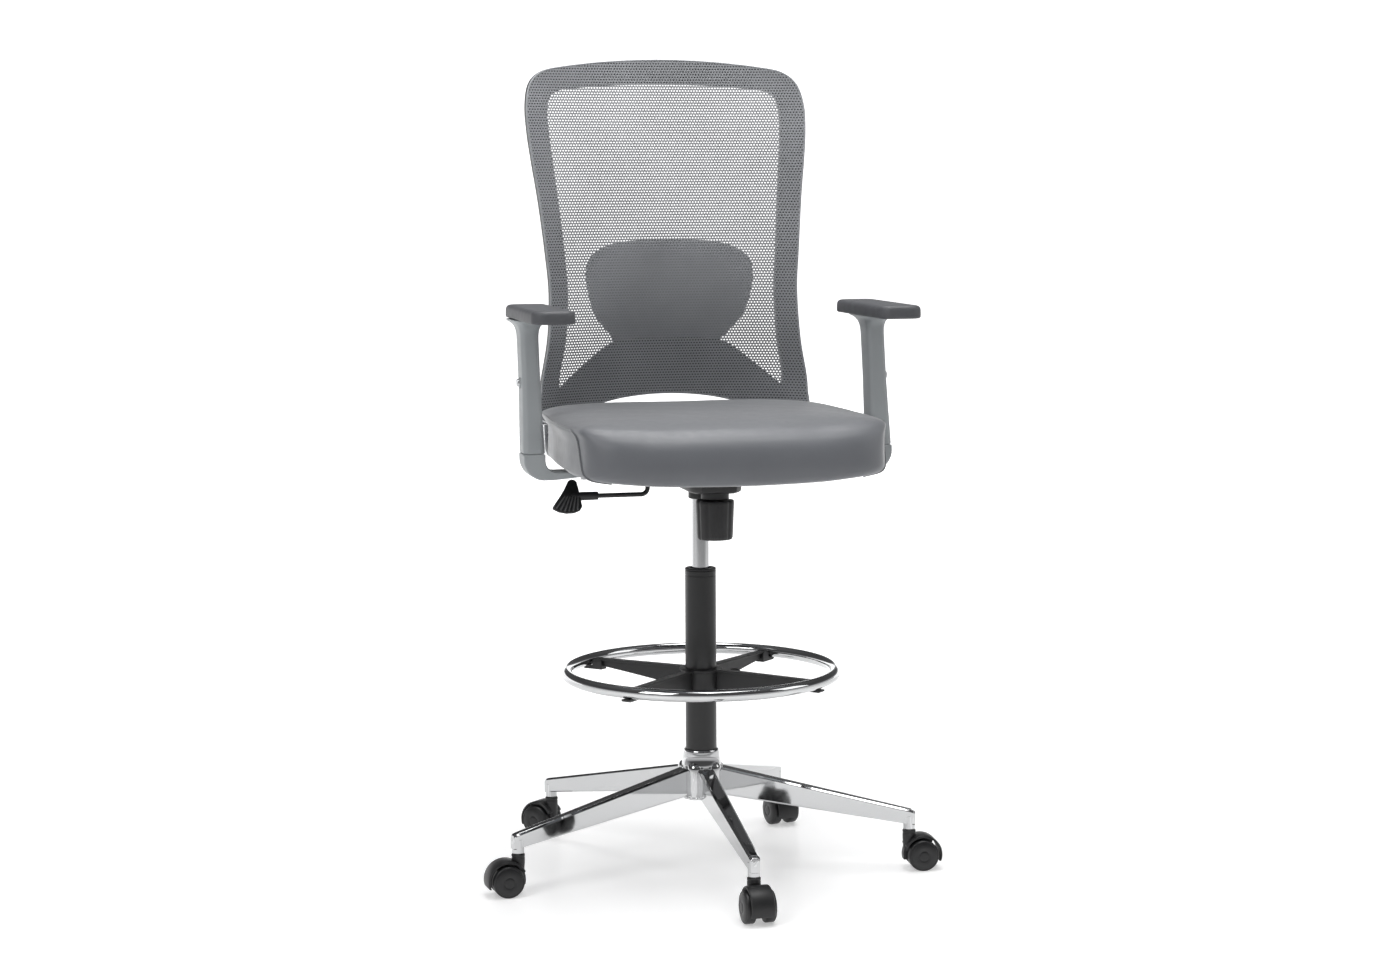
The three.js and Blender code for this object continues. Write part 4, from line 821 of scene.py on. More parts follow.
@dataclass
class Column(Assembly):
    """The black outer tube with the guide sleeve's collar, and the chrome gas cylinder that rises from it."""

    radius: float = 25.0
    foot: float = 117.0
    top: float = 486.0
    cylinder_radius: float = 14.0
    cylinder_foot: float = 310.0
    cylinder_top: float = 630.0

    def build(self) -> None:
        """Builds tube, collar and cylinder."""
        inner = self.radius - 2.4
        tube_wall = [(inner, self.foot), (self.radius, self.foot), (self.radius, self.top - 9), (24.6, self.top - 8.6),
                     (24.6, self.top - 7.6), (self.radius, self.top - 7.2), (self.radius, self.top - 0.6),
                     (24.4, self.top), (inner, self.top)]
        self.form("column_tube").add_turned(tube_wall, sides=96, closed=True).build(
            Finishes.COLUMN, "base", "black_paint", ["outer_column"])
        bore = self.cylinder_radius + GAP
        collar = [(bore, 400), (inner - GAP, 400), (inner - GAP, self.top + GAP), (24.4, self.top + GAP),
                  (25, self.top + 0.9), (25, self.top + 2.8), (24, self.top + 3.8), (17.5, self.top + 3.8),
                  (16, self.top + 2.2), (bore, self.top + 2.2)]
        self.form("column_collar").add_turned(collar, sides=96, closed=True).build(
            Finishes.BLACK_PLASTIC, "base", "black_plastic", ["column_sleeve"])
        outer = self.cylinder_radius
        cylinder = [(0, self.cylinder_foot), (outer - 1, self.cylinder_foot), (outer, self.cylinder_foot + 1),
                    (outer, 540), (outer, self.cylinder_top - 1), (outer - 1, self.cylinder_top),
                    (3.3, self.cylinder_top), (3.3, self.cylinder_top - 28), (0, self.cylinder_top - 28)]
        self.form("lift_cylinder").add_turned(cylinder, sides=80).build(
            Finishes.CYLINDER, "lift", "polished_metal", ["gas_cylinder"])


@dataclass
class FootRing(Assembly):
    """The chrome foot ring on its four-armed holder, which a knob clamps to the column."""

    radius: float = 216.5
    tube_radius: float = 9.5
    height: float = 321.0
    spokes: int = 4
    top: float = 327.0
    foot: float = 289.0
    hub_inner: float = 27.2
    hub_outer: float = 31.2

    def spoke(self, form: Form, angle: float) -> None:
        """Adds one spoke: a tapering web under a flange that narrows outwards, ending in a block and a saddle.

        Args:
            form: The form to add to.
            angle: The spoke's direction in degrees.
        """
        start, end = self.hub_outer - 2, self.radius - self.tube_radius - GAP
        along = np.linspace(start, end - 10, 14)
        share = (along - start) / (end - 10 - start)
        top = self.top - 2 * share
        depth = 38 + (12 - 38) * share ** 0.8

        def beam(half: Array, low: Array, high: Array) -> Array:
            """A rectangular bar along +X, turned to the spoke's angle.

            Args:
                half: Half its width at each place along it.
                low: Its underside there.
                high: Its top there.

            Returns:
                A grid of four points at each place.
            """
            ones = np.ones_like(along)
            y = np.stack((-half * ones, half * ones, half * ones, -half * ones), axis=-1)
            z = np.stack((low, low, high, high), axis=-1)
            return spin(np.stack((np.broadcast_to(along[:, None], y.shape), y, z), axis=-1), angle)

        form.add(beam(np.full_like(along, 2.0), top - depth, top - 1))
        form.add(beam(7.5 - 1.0 * share, top - 3.2, top))
        saddle_top = self.height - self.tube_radius - GAP
        block = np.array([
            (end - 19, saddle_top - 4.5), (self.radius + 5, saddle_top - 4.5), (self.radius + 7.5, saddle_top - 2.5),
            (self.radius + 7.5, saddle_top - 0.4), (end - 0.4, saddle_top - 0.4), (end - 1.2, self.height - 5),
            (end - 0.6, self.height - 1), (end - 2.6, self.top - 2.4), (end - 14, self.top - 1.8),
            (end - 19, self.top - 5),
        ])
        rings = [np.insert(block, 1, y, axis=1) for y in (-7.5, 7.5)]
        form.add(spin(np.stack(rings), angle))

    def build(self) -> None:
        """Builds ring, holder, sleeve and clamp knob."""
        turn = np.linspace(0, 2 * np.pi, 180, endpoint=False)
        level = np.full_like(turn, self.height)
        line = np.stack((self.radius * np.cos(turn), self.radius * np.sin(turn), level), axis=-1)
        ring = self.form("foot_ring_tube")
        ring.add(tube(line, self.tube_radius, 28, closed=True), rows_close=True)
        ring.build(Finishes.CHROME, "foot_ring", "polished_metal", ["foot_ring"])
        holder = self.form("foot_ring_holder")
        hub = [(self.hub_inner, self.foot), (self.hub_outer - 0.8, self.foot), (self.hub_outer, self.foot + 0.8),
               (self.hub_outer, self.top - 5), (self.hub_outer + 3.4, self.top - 3),
               (self.hub_outer + 3.4, self.top - 0.8), (self.hub_outer + 2.4, self.top), (self.hub_inner, self.top)]
        holder.add_turned(hub, sides=80, closed=True)
        for i in range(self.spokes):
            self.spoke(holder, 45 + 360 * i / self.spokes)
        boss_z = (self.top + self.foot) / 2
        boss = [(4.4, 0), (8.8, 0), (8.8, 17.5), (8, 18.6), (4.4, 18.6)]
        holder.add_across(boss, (28, 0, boss_z), (1, 0, 0))
        holder.build(Finishes.BLACK_PLASTIC, "foot_ring", "black_plastic", ["foot_ring_spider"], bevel_mm=0.6)
        sleeve = [(25.3, 284.5), (28.8, 284.5), (29.5, 285.2), (29.5, 287.6), (28.9, 288.4), (26.9, 288.6), (26.9, 327),
                  (25.3, 327)]
        self.form("foot_ring_bush").add_turned(sleeve, sides=80, closed=True).build(
            Finishes.BLACK_PLASTIC, "ring_sleeve", "black_plastic", ["foot_ring_sleeve"])
        knob = self.form("foot_ring_clamp")
        knob.add(self.fluted_knob(boss_z))
        knob.add_across([(0, 0), (4, 0), (4, 22), (0, 22)], (29.5, 0, boss_z), (1, 0, 0), 24)
        knob.build(Finishes.BLACK_PLASTIC, "ring_knob", "black_plastic", ["foot_ring_knob"])

    @staticmethod
    def fluted_knob(z: float) -> Array:
        """The knob's grip: rings whose radius falls in six even flutes, stacked along +X.

        Args:
            z: The height of the knob's axis.

        Returns:
            A grid of rings.
        """
        levels = np.array([
            (50, 9), (50, 12.6), (51.2, 14), (53, 14.9), (60, 14.9), (63, 14.2), (64.6, 12.4), (65, 9.5),
        ])
        turn = np.linspace(0, 2 * np.pi, 96, endpoint=False)
        reach = levels[:, 1:] - 1.9 * (levels[:, 1:] / 15) ** 2 * (0.5 - 0.5 * np.cos(6 * turn)) ** 2
        x = np.broadcast_to(levels[:, :1], reach.shape)
        return np.stack((x, reach * np.cos(turn), z + reach * np.sin(turn)), axis=-1)


# ---------------------------------------------------------------- mechanism and lever


@dataclass
class Mechanism(Assembly):
    """The tilt mechanism: pressed tray with a boss for the cylinder, spring cup, and the tension knob."""

    floor: float = 622.0
    rim: float = 648.0
    spring_y: float = -100.0
    cup_foot: float = 611.5
    knob_head: float = 610.5
    knob_length: float = 62.0

    @staticmethod
    def tray_outline(inset: float) -> Array:
        """The tray's plan, tapering towards the front, drawn in by an inset.

        Args:
            inset: How far the outline is drawn in.

        Returns:
            Points round the plan, one row each.
        """
        half, front, back = 42 - inset, -128 + inset, 56 - inset
        right = [(half - 14, front), (half - 3, front + 14), (half, front + 34), (half, back - 12),
                 (half - 4, back - 3), (half - 12, back)]
        return np.array(right + [(-x, y) for x, y in right[::-1]])

    def build(self) -> None:
        """Builds the housing and the knob."""
        housing = self.form("mechanism_tray")
        levels = ((4, self.floor), (0.5, self.floor + 3), (0, self.floor + 6), (0, self.rim), (3, self.rim),
                  (3, self.floor + 3))
        rings = [np.insert(self.tray_outline(inset), 2, z, axis=1) for inset, z in levels]
        housing.add(np.stack(rings))
        boss = [(14.3, 602), (18, 602), (19, 603), (19, 617), (22, 621), (27, 624), (14.3, 624)]
        housing.add_turned(boss, sides=72, closed=True)
        cup = [(4.3, self.cup_foot), (21, self.cup_foot), (22, self.cup_foot + 1), (22, 640), (19, 640),
               (19, self.cup_foot + 3), (4.3, self.cup_foot + 3)]
        housing.add_turned(cup, 0, self.spring_y, 72, closed=True)
        housing.build(Finishes.MECHANISM, "lift", "black_paint", ["mechanism_housing"], bevel_mm=0.6)
        knob = self.form("tension_grip")
        knob.add(self.grip() + (0, self.spring_y, 0))
        knob.build(Finishes.BLACK_PLASTIC, "tension_knob", "black_plastic", ["tension_knob"])

    def grip(self) -> Array:
        """The tension knob: a slightly tapering drum with ten shallow flutes, both ends rounded over."""
        head, foot = self.knob_head, self.knob_head - self.knob_length
        levels = np.array([
            (foot, 20), (foot, 25.4), (foot + 0.7, 27), (foot + 2.4, 28), (foot + 5, 28.3), (head - 30, 29.4),
            (head - 5, 30.4), (head - 2, 30.2), (head - 0.6, 29.4), (head, 28), (head, 22),
        ])
        turn = np.linspace(0, 2 * np.pi, 160, endpoint=False)
        flute = (0.5 - 0.5 * np.cos(10 * turn)) ** 3
        depth = 1.7 * smooth(levels[:, 1:], 24, 28)
        reach = levels[:, 1:] - depth * flute
        z = np.broadcast_to(levels[:, :1], reach.shape)
        return np.stack((reach * np.cos(turn), reach * np.sin(turn), z), axis=-1)


@dataclass
class LiftLever(Assembly):
    """The bent wire that works the lift valve, with its ribbed paddle."""

    wire: float = 3.75
    high: float = 642.0
    low: float = 611.0
    tilt: float = 52.0

    def paddle_point(self, x: Array, reach: Array, lift: Array) -> Array:
        """A point on the tilted paddle: x along the lever, reach up its face, lift off the face.

        Args:
            x: Places along the lever.
            reach: Places up the paddle's face.
            lift: Distances off the face.

        Returns:
            The points.
        """
        tilt = math.radians(self.tilt)
        y = reach * math.cos(tilt) - lift * math.sin(tilt)
        z = reach * math.sin(tilt) + lift * math.cos(tilt)
        return np.stack((x - 208, y, z + self.low - 1), axis=-1)

    def ribs(self) -> None:
        """Builds the ribs that fan down the blade's lower half, painted paler than the blade as a highlight along them.
        """
        form = self.form("lever_grip_ribs")
        ribs = ((-29, -23, -11), (-23, -26.5, -7), (-16.5, -28.5, -3), (-10, -29, 1), (-3, -28.5, 5), (4, -26.5, 9))
        for foot_x, foot_y, head_x in ribs:
            t = np.linspace(0, 1, 10)
            line_x = foot_x + (head_x - foot_x) * t
            line_y = foot_y + (2 - foot_y) * t
            lift = 5.4 - 2.6 * t ** 4
            form.add(tube(self.paddle_point(line_x, line_y, lift), 1.25, 8))
        # The paler rib finish is a painted highlight along the ribs.
        form.build(Finishes.RIB_HIGHLIGHT, "lever", "black_plastic")

    def paddle(self, form: Form) -> None:
        """Adds the fan-shaped blade.

        Args:
            form: The form to add to.
        """
        outline = np.array([
            (-7, 23), (-4, 28.5), (1, 31), (6, 30), (9.5, 26), (11, 12), (12.4, -6), (12.8, -20), (8, -27), (-2, -31),
            (-14, -31.5), (-26, -28.5), (-34.5, -23), (-35, -20), (-28, -10), (-20, 1), (-13, 12),
        ])
        middle = outline.mean(axis=0)
        rings = []
        for lift, inset in ((-0.6, 2), (0, 0.6), (1.2, 0), (3.2, 0), (4.4, 0.8), (4.8, 2.2)):
            ring = middle + (outline - middle) * (1 - inset / 24)
            rings.append(self.paddle_point(ring[:, 0], ring[:, 1], np.full(len(ring), lift)))
        form.add(np.stack(rings))

    def build(self) -> None:
        """Builds wire and paddle."""
        corners = [(16, 0, self.high), (-86, 0, self.high), (-86, 0, self.low), (-196, 0, self.low)]
        path = rounded_path(corners, 12, 12)
        self.form("lever_wire").add(tube(path, self.wire, 20)).build(
            Finishes.MECHANISM, "lever", "black_paint", ["lift_lever"])
        form = self.form("lever_grip")
        socket = [(4.1, 0), (6, 0), (6.6, 0.6), (6.9, 28), (5.8, 32), (5.4, 40), (4.2, 44), (0, 45)]
        form.add_across(socket, (-167, 0, self.low), (-1, 0, 0), 40)
        self.paddle(form)
        self.ribs()
        form.build(Finishes.BLACK_PLASTIC, "lever", "black_plastic", ["lever_paddle"], sharp=40)


# ---------------------------------------------------------------- seat


@dataclass
class Seat(Assembly):
    """The upholstered seat: a crowned top that rolls over the front, boxing round the sides, and a piped seam."""

    front: float = -290.0
    back: float = 206.0
    front_half: float = 240.0
    half: float = 251.0
    rear_half: float = 238.0
    front_corner: float = 38.0
    rear_corner: float = 110.0
    bow: float = 22.0
    across: int = 360
    rings: int = 96
    profile_points: int = 20
    easing: int = 14
    tuck_depth: float = 7.0
    seam_level: float = 10.0
    seam_fall: float = 8.6
    piping_radius: float = 1.9

    def outline(self) -> Array:
        """The plan as evenly spaced points: bowed front, tight front corners, full sides and round rear corners."""
        x = np.linspace(0, self.front_half - self.front_corner, 24)
        front = np.stack((x, self.front + self.bow * (x / self.front_half) ** 2), axis=-1)
        ends = self.front + self.bow
        corner = arc(self.front_corner, -80, -4, 16, (self.front_half - self.front_corner, ends + self.front_corner))
        y = np.linspace(-215, 90, 40)
        side_x = graded([(-230, self.half - 10.5), (-180, self.half - 2), (-110, self.half), (0, self.half - 5),
                         (96, self.rear_half)])
        side = np.stack((side_x(y), y), axis=-1)
        rear = arc(self.rear_corner, 2, 90, 30, (self.rear_half - self.rear_corner, self.back - self.rear_corner))
        half = np.concatenate((front, corner, side, rear, [(0, self.back)]))
        mirror = half[1:-1][::-1] * (-1, 1)
        loop = np.concatenate((half, mirror, half[:1]))
        length = np.r_[0, np.cumsum(np.linalg.norm(np.diff(loop, axis=0), axis=1))]
        even = np.linspace(0, length[-1], self.across, endpoint=False)
        plan = np.stack([np.interp(even, length, loop[:, axis]) for axis in (0, 1)], axis=-1)
        for _ in range(self.easing):
            plan = (np.roll(plan, 1, 0) + 2 * plan + np.roll(plan, -1, 0)) / 4
        return plan

    def surface(self) -> Array:
        """The whole skin as rings from the underside up the side and in over the top.

        Each ring is the plan drawn in by an inset, at a height. On the sides both follow a boxed profile, at the front
        a rolled one, and the two are mixed by how near a point is to the front edge.
        """
        plan = self.outline()
        middle = (self.front + self.back) / 2
        boxed = np.array([
            (44, 664), (18, 663), (7, 664.5), (3.5, 668), (2.6, 674), (3.0, 690), (3.0, 710), (2.4, 724), (1.2, 729.5),
            (0.6, 732.5), (1.4, 735.6), (4, 738.4), (9, 740.6), (18, 742.6), (34, 744.4), (60, 746), (95, 747.4),
            (135, 748.2), (180, 748.6), (225, 748.8),
        ])
        rolled = np.array([
            (48, 650.5), (26, 649.6), (12, 651.5), (5, 657), (1.5, 667), (0, 680), (1.2, 693), (5, 706), (10.5, 716),
            (17.5, 724), (25, 730), (34, 735), (45, 738.6), (58, 741.4), (74, 743.6), (92, 745.4), (112, 746.8),
            (140, 747.8), (182, 748.5), (225, 748.8),
        ])
        steps = np.linspace(0, self.profile_points - 1, self.rings)
        boxed, rolled = (
            np.stack([graded(list(enumerate(profile[:, axis])))(steps) for axis in (0, 1)], axis=-1)
            for profile in (boxed, rolled)
        )
        ahead = 1 - smooth(plan[:, 1], self.front + self.bow - 6, self.front + self.bow + 44)
        ahead = ahead * (1 - 0.45 * smooth(np.abs(plan[:, 0]), self.front_half - 110, self.front_half + 8))
        sag = 1 - 0.75 * (plan[:, 0] / self.front_half) ** 2
        mix = ahead[None, :]
        tuck = self.tuck_depth * smooth(plan[:, 1], -230, -90)[None, :] * (1 - smooth(boxed[:, 1:], 712, 732))
        inset = boxed[:, :1] * (1 - mix) + rolled[:, :1] * mix + tuck * (boxed[:, :1] < 30)
        rolled_z = rolled[:, 1:] + (1 - sag[None, :]) * 9 * (1 - smooth(rolled[:, 1:], 650, 700))
        z = boxed[:, 1:] * (1 - mix) + rolled_z * mix
        scale = 1 - inset / self.half
        x = plan[None, :, 0] * scale
        y = middle + (plan[None, :, 1] - middle) * scale
        puckers = 0.5 * np.sin(x / 37 + 1.3) * np.sin(y / 53 + 0.4) + 0.35 * np.sin((x + y) / 21) * np.sin(y / 29)
        z = z + puckers * smooth(z, 730, 747)
        return np.stack((x, y, z), axis=-1)

    def piping(self, skin: Array) -> Array:
        """The seam's line: up a front corner, back along the side, round the rear and down the other corner.

        It runs over the skin by ring and place, the ring falling from the boxing's upper edge to the underside at
        the front corners.

        Args:
            skin: The seat's skin, ring by ring.

        Returns:
            Points along the seam.
        """
        plan = self.outline()
        y = plan[:, 1]
        side = np.flatnonzero((np.abs(plan[:, 0]) > self.front_half - 34) | (y > -200))
        ring_step = (self.rings - 1) / (self.profile_points - 1)
        falling = 1 - smooth(y[side], self.front + self.bow + 3, self.front + self.bow + 78)
        level = ring_step * (self.seam_level - self.seam_fall * falling ** 0.8)
        low = np.floor(level).astype(int)
        share = (level - low)[:, None]
        line = skin[low, side] * (1 - share) + skin[low + 1, side] * share
        outward = line - (0, (self.front + self.back) / 2, 0)
        outward[:, 2] = 0
        outward /= np.linalg.norm(outward, axis=1, keepdims=True)
        return line + 0.5 * outward

    def build(self) -> None:
        skin = self.surface()
        form = self.form("seat_cover")
        form.add(skin)
        cushion = form.build(Finishes.LEATHER, "seat", "seat_cover", ["seat_cushion"], sharp=60)
        seam = self.form("seat_piping")
        seam.add(tube(self.piping(skin), self.piping_radius, 12))
        seam.build(Finishes.PIPING, "seat", "seat_cover", sharp=60)


# ---------------------------------------------------------------- arms


@dataclass
class Arm(Assembly):
    """One arm: bracket with its post, sliding sleeve with a flared head, height button and pad."""

    side: str = "left"
    sign: float = 1.0
    middle: float = 281.0
    seam: float = 687.0
    button_z: float = 796.0
    button_y: float = -33.0
    lean: float = 10.0
    foot_width: float = 34.0
    depth: float = 48.0
    pad_length: float = 264.0
    pad_width: float = 68.0
    pad_corner: float = 20.0

    def y_at(self, z: Array | float) -> Array | float:
        """The leaning middle line's Y at a height."""
        return self.button_y + (z - self.button_z) * math.tan(math.radians(self.lean))

    def facing(self, points: Array) -> Array:
        """Points modelled for the left arm, mirrored for the right."""
        return points * (self.sign, 1, 1)

    def ring(self, width: float, depth: float, z: float, corner: float = 8.0) -> Array:
        """A rounded rectangle across the arm at a height, on its middle line."""
        flat = rounded_rectangle(width, depth, min(corner, width / 2 - 0.4, depth / 2 - 0.4), 7)
        return np.insert(flat + (self.middle, self.y_at(z)), 2, z, axis=1)

    def sleeve(self) -> None:
        """Builds the sleeve: bore, foot, tapering shaft with a crisp front flat, and the flare under the pad."""
        bore = [self.ring(21.8, 40.8, z, 2) for z in (859, self.seam + 0.6)]
        levels = [(30, 44, 687.3, 6), (33.4, 47.4, 688.4, 8), (34, 48, 690.5, 8.5), (33.2, 48, 712, 8.5),
                  (31, 48, 752, 8.5), (29.2, 48, 790, 8.5), (29, 48, 830, 8.5), (29, 48, 862, 8.5),
                  (29.6, 49.2, 870, 8.8), (31.4, 53, 877, 9.5), (35, 60, 882.6, 11), (41, 71, 887, 13),
                  (48, 84, 889.8, 15), (53, 93, 891.2, 16), (54, 96, 892.2, 16), (54, 96, 893.8, 16)]
        form = self.form(f"arm_sleeve_{self.side}_shell")
        rings = bore + [self.ring(*level) for level in levels]
        form.add(self.facing(np.stack(rings)))
        collar = [(0, 0), (9, 0), (8.6, 1.6), (7.4, 2.2), (6.3, 2.2), (6.3, 1), (0, 1)]
        start = self.facing(np.array((self.middle + 14.2, self.button_y, self.button_z)))
        form.add_across(collar, start, (self.sign, 0, 0))
        form.build(Finishes.GREY_PLASTIC, f"arm_{self.side}", "grey_plastic", [f"arm_sleeve_{self.side}"], sharp=40)

    def bracket(self) -> None:
        """Builds the bracket: its foot under the seat, the rounded elbow and the post inside the sleeve."""
        outer, inner = self.middle + self.foot_width / 2, self.middle - self.foot_width / 2
        outline = np.concatenate((
            [(120, 649.2), (214, 649.2), (230, 647.6), (252, 646)],
            arc(32, -90, 0, 12, (outer - 32, 678)),
            [(outer, self.seam), (inner, self.seam)],
            arc(18, 0, -90, 8, (inner - 18, 676.4)),
            [(120, 658.4)],
        ))
        y = self.y_at(self.seam)
        form = self.form(f"arm_bracket_{self.side}_elbow")
        rings = [np.insert(outline, 1, place, axis=1) for place in (y - self.depth / 2, y + self.depth / 2)]
        form.add(self.facing(np.stack(rings)))
        post = [self.ring(21.2, 40.2, z, 2) for z in (self.seam - 2, self.seam + 160)]
        form.add(self.facing(np.stack(post)))
        form.build(Finishes.GREY_PLASTIC, "seat", "grey_plastic", [f"arm_bracket_{self.side}"], bevel_mm=4.5, sharp=50)

    def bolts(self) -> None:
        """Builds the two bolt heads under the bracket's foot."""
        form = self.form(f"arm_bracket_{self.side}_bolts")
        head = [(0, 644.6), (4.2, 644.6), (5, 645.4), (5, 649.0), (0, 649.0)]
        for x in (176, 202):
            form.add(self.facing(turned(head, 24) + (x, self.y_at(self.seam) - 12, 0)))
        form.build(Finishes.STEEL, "seat", "steel")

    def button(self) -> None:
        """Builds the height button: a short round cap with an eased edge."""
        profile = [(0, 0), (5.9, 0), (5.9, 9.2), (5.4, 10.2), (4.2, 10.6), (0, 10.7)]
        start = self.facing(np.array((self.middle + 9.9, self.button_y, self.button_z)))
        form = self.form(f"arm_button_{self.side}_cap")
        form.add_across(profile, start, (self.sign, 0, 0))
        form.build(Finishes.STEEL, f"arm_button_{self.side}", "steel", [f"arm_button_{self.side}"])

    def pad(self) -> None:
        """Builds the pad: a long rounded block, its top edge eased more than its foot and its top lightly crowned."""
        levels = [(26, 0), (5, 0), (2, 0.5), (0.4, 1.8), (0, 3.4), (0, 10), (0.3, 14), (1.2, 17), (3, 19), (5.6, 20.2),
                  (9, 20.7), (16, 20.9), (26, 21)]
        rings = []
        for inset, lift in levels:
            corner = max(self.pad_corner - inset, 3)
            flat = rounded_rectangle(self.pad_width - 2 * inset, self.pad_length - 2 * inset, corner, 10)
            flat = flat + (self.middle - 9, -80)
            rings.append(np.insert(flat, 2, 894.4 + lift, axis=1))
        form = self.form(f"arm_pad_{self.side}_top")
        form.add(self.facing(np.stack(rings)))
        pad = form.build(Finishes.PAD, f"arm_{self.side}", "arm_pad_grey", [f"arm_pad_{self.side}"], sharp=50)

    def build(self) -> None:
        """Builds the whole arm."""
        self.bracket()
        self.bolts()
        self.sleeve()
        self.button()
        self.pad()


# ---------------------------------------------------------------- back


@dataclass
class Back(Assembly):
    """The back: a moulded frame curved two ways, mesh stretched over it, a lumbar shield and two struts."""

    frame_depth: float = 20.0
    mesh_lift: float = -2.4
    mesh_inset: float = 1.5
    pitch_x: float = 4.8
    pitch_z: float = 4.5
    hole_x: float = 1.38
    hole_z: float = 1.22
    lattice_foot: float = 712.0
    lattice_rows: int = 134
    lattice_reach: int = 52
    knot: float = 0.35
    tucked_wide: float = 0.012
    tucked_tall: float = 0.03
    shield_foot: float = 847.0
    shield_half: float = 148.0

    line: Curve = graded([(700, 256), (740, 246), (850, 218), (930, 210), (1010, 215), (1100, 231), (1200, 251),
                          (1310, 276)])
    wings: Curve = graded([(700, 80), (740, 77), (850, 52), (960, 36), (1220, 34), (1310, 26)])
    half: Curve = graded([(700, 230), (750, 228), (785, 224.5), (817, 219), (850, 213.5), (882, 211), (925, 209.5),
                          (980, 212.5), (1077, 222.5), (1142, 231), (1215, 237), (1310, 238)])

    def depth(self, x: Array, z: Array) -> Array:
        """The front surface's Y: the middle line less the wings' rise by the 2.6th power of the distance out."""
        out = np.minimum(np.abs(x) / self.half(z), 1.05)
        return self.line(z) - self.wings(z) * out ** 2.6

    def on(self, x: Array, z: Array, lift: Array | float) -> Array:
        """Points a distance behind the front surface."""
        return np.stack((x, self.depth(x, z) + lift, z), axis=-1)

    @staticmethod
    def loop(half: Sequence[tuple[float, float]], count: int) -> Array:
        """A smooth closed outline through half an outline and its mirror, at even shares of its points.

        Args:
            half: The outline from its lowest middle point round to its highest.
            count: How many points to give.

        Returns:
            Points round the outline, one row each.
        """
        right = np.array(half, float)
        knots = np.concatenate((right, right[1:-1][::-1] * (-1, 1)))
        where = np.arange(count) * len(knots) / count
        i = np.floor(where).astype(int)
        t = (where - i)[:, None]
        p0, p1, p2, p3 = (knots[(i + k) % len(knots)] for k in (-1, 0, 1, 2))
        return 0.5 * (2 * p1 + (p2 - p0) * t + (2 * p0 - 5 * p1 + 4 * p2 - p3) * t**2
                      + (3 * p1 - p0 - 3 * p2 + p3) * t**3)

    def outlines(self, count: int = 380) -> tuple[Array, Array]:
        """The frame's outer and inner outlines, point for point.

        Args:
            count: How many points each has.

        Returns:
            The outer outline and the inner one.
        """
        outer = [(0, 752), (70, 747), (131, 734), (188, 718), (219, 716), (229.5, 732), (227.5, 755), (224.5, 785),
                 (213.5, 850), (209.5, 925), (214, 990), (222.5, 1077), (231, 1142), (236, 1190), (236.5, 1232),
                 (228, 1267), (207, 1287), (172, 1296), (90, 1305.5), (0, 1309)]
        inner = [(0, 846), (60, 846), (99, 838), (140, 808), (178, 776), (188, 768), (191, 775), (189.5, 795),
                 (180, 850), (176, 925), (180, 990), (187, 1077), (193.5, 1142), (197.5, 1190), (198, 1222),
                 (192, 1245), (176, 1256), (150, 1260), (80, 1265.5), (0, 1267)]
        return self.loop(outer, count), self.loop(inner, count)

    def frame(self) -> None:
        """Builds the frame: a rounded band section carried round between its two outlines."""
        outer, inner = self.outlines()
        width = np.linalg.norm(inner - outer, axis=1, keepdims=True)
        inward = (inner - outer) / width
        back = self.frame_depth
        middle = -0.5  # stands for the band's middle line; other steps below zero run outwards from the inner outline
        section = [(0, 15), (0, 4), (0.5, 1.6), (2, 0.3), (4.5, 0), (middle, 0), (-6, 0), (-3, 0.5), (-1.4, 1.8),
                   (-1, 4), (-1, back - 4), (-1.8, back - 1.2), (-4, back), (middle, back), (7, back), (3, back - 1),
                   (0.8, back - 3)]
        rows = []
        for step, lift in section:
            if step == middle:
                flat = (outer + inner) / 2
            elif step < 0:
                flat = inner + inward * (step + 1)
            else:
                flat = outer + inward * step
            rows.append(self.on(flat[:, 0], flat[:, 1], lift))
        form = self.form("back_frame_band")
        form.add(np.stack(rows, axis=1), rows_close=True)
        form.build(Finishes.FRAME, "seat", "grey_plastic", ["back_frame"], sharp=50)

    def within(self, x: Array, z: Array) -> tuple[Array, Array, Array]:
        """Points brought inside the mesh's edge, and whether each was inside already.

        Args:
            x: Places across the back.
            z: Heights.

        Returns:
            The places, the heights, and whether each point was inside already.
        """
        outer, _ = self.outlines(760)
        right = outer[outer[:, 0] >= 0]
        centre = np.array((0.0, 1020.0))
        offset = right - centre
        angle = np.arctan2(offset[:, 1], offset[:, 0])
        order = np.argsort(angle)
        reach = np.linalg.norm(offset, axis=1) - self.mesh_inset
        ax, az = np.abs(x), z - centre[1]
        limit = np.interp(np.arctan2(az, ax), angle[order], reach[order])
        own = np.hypot(ax, az)
        pull = np.minimum(1, limit / np.maximum(own, 1e-6))
        return x * pull, centre[1] + az * pull, own <= limit

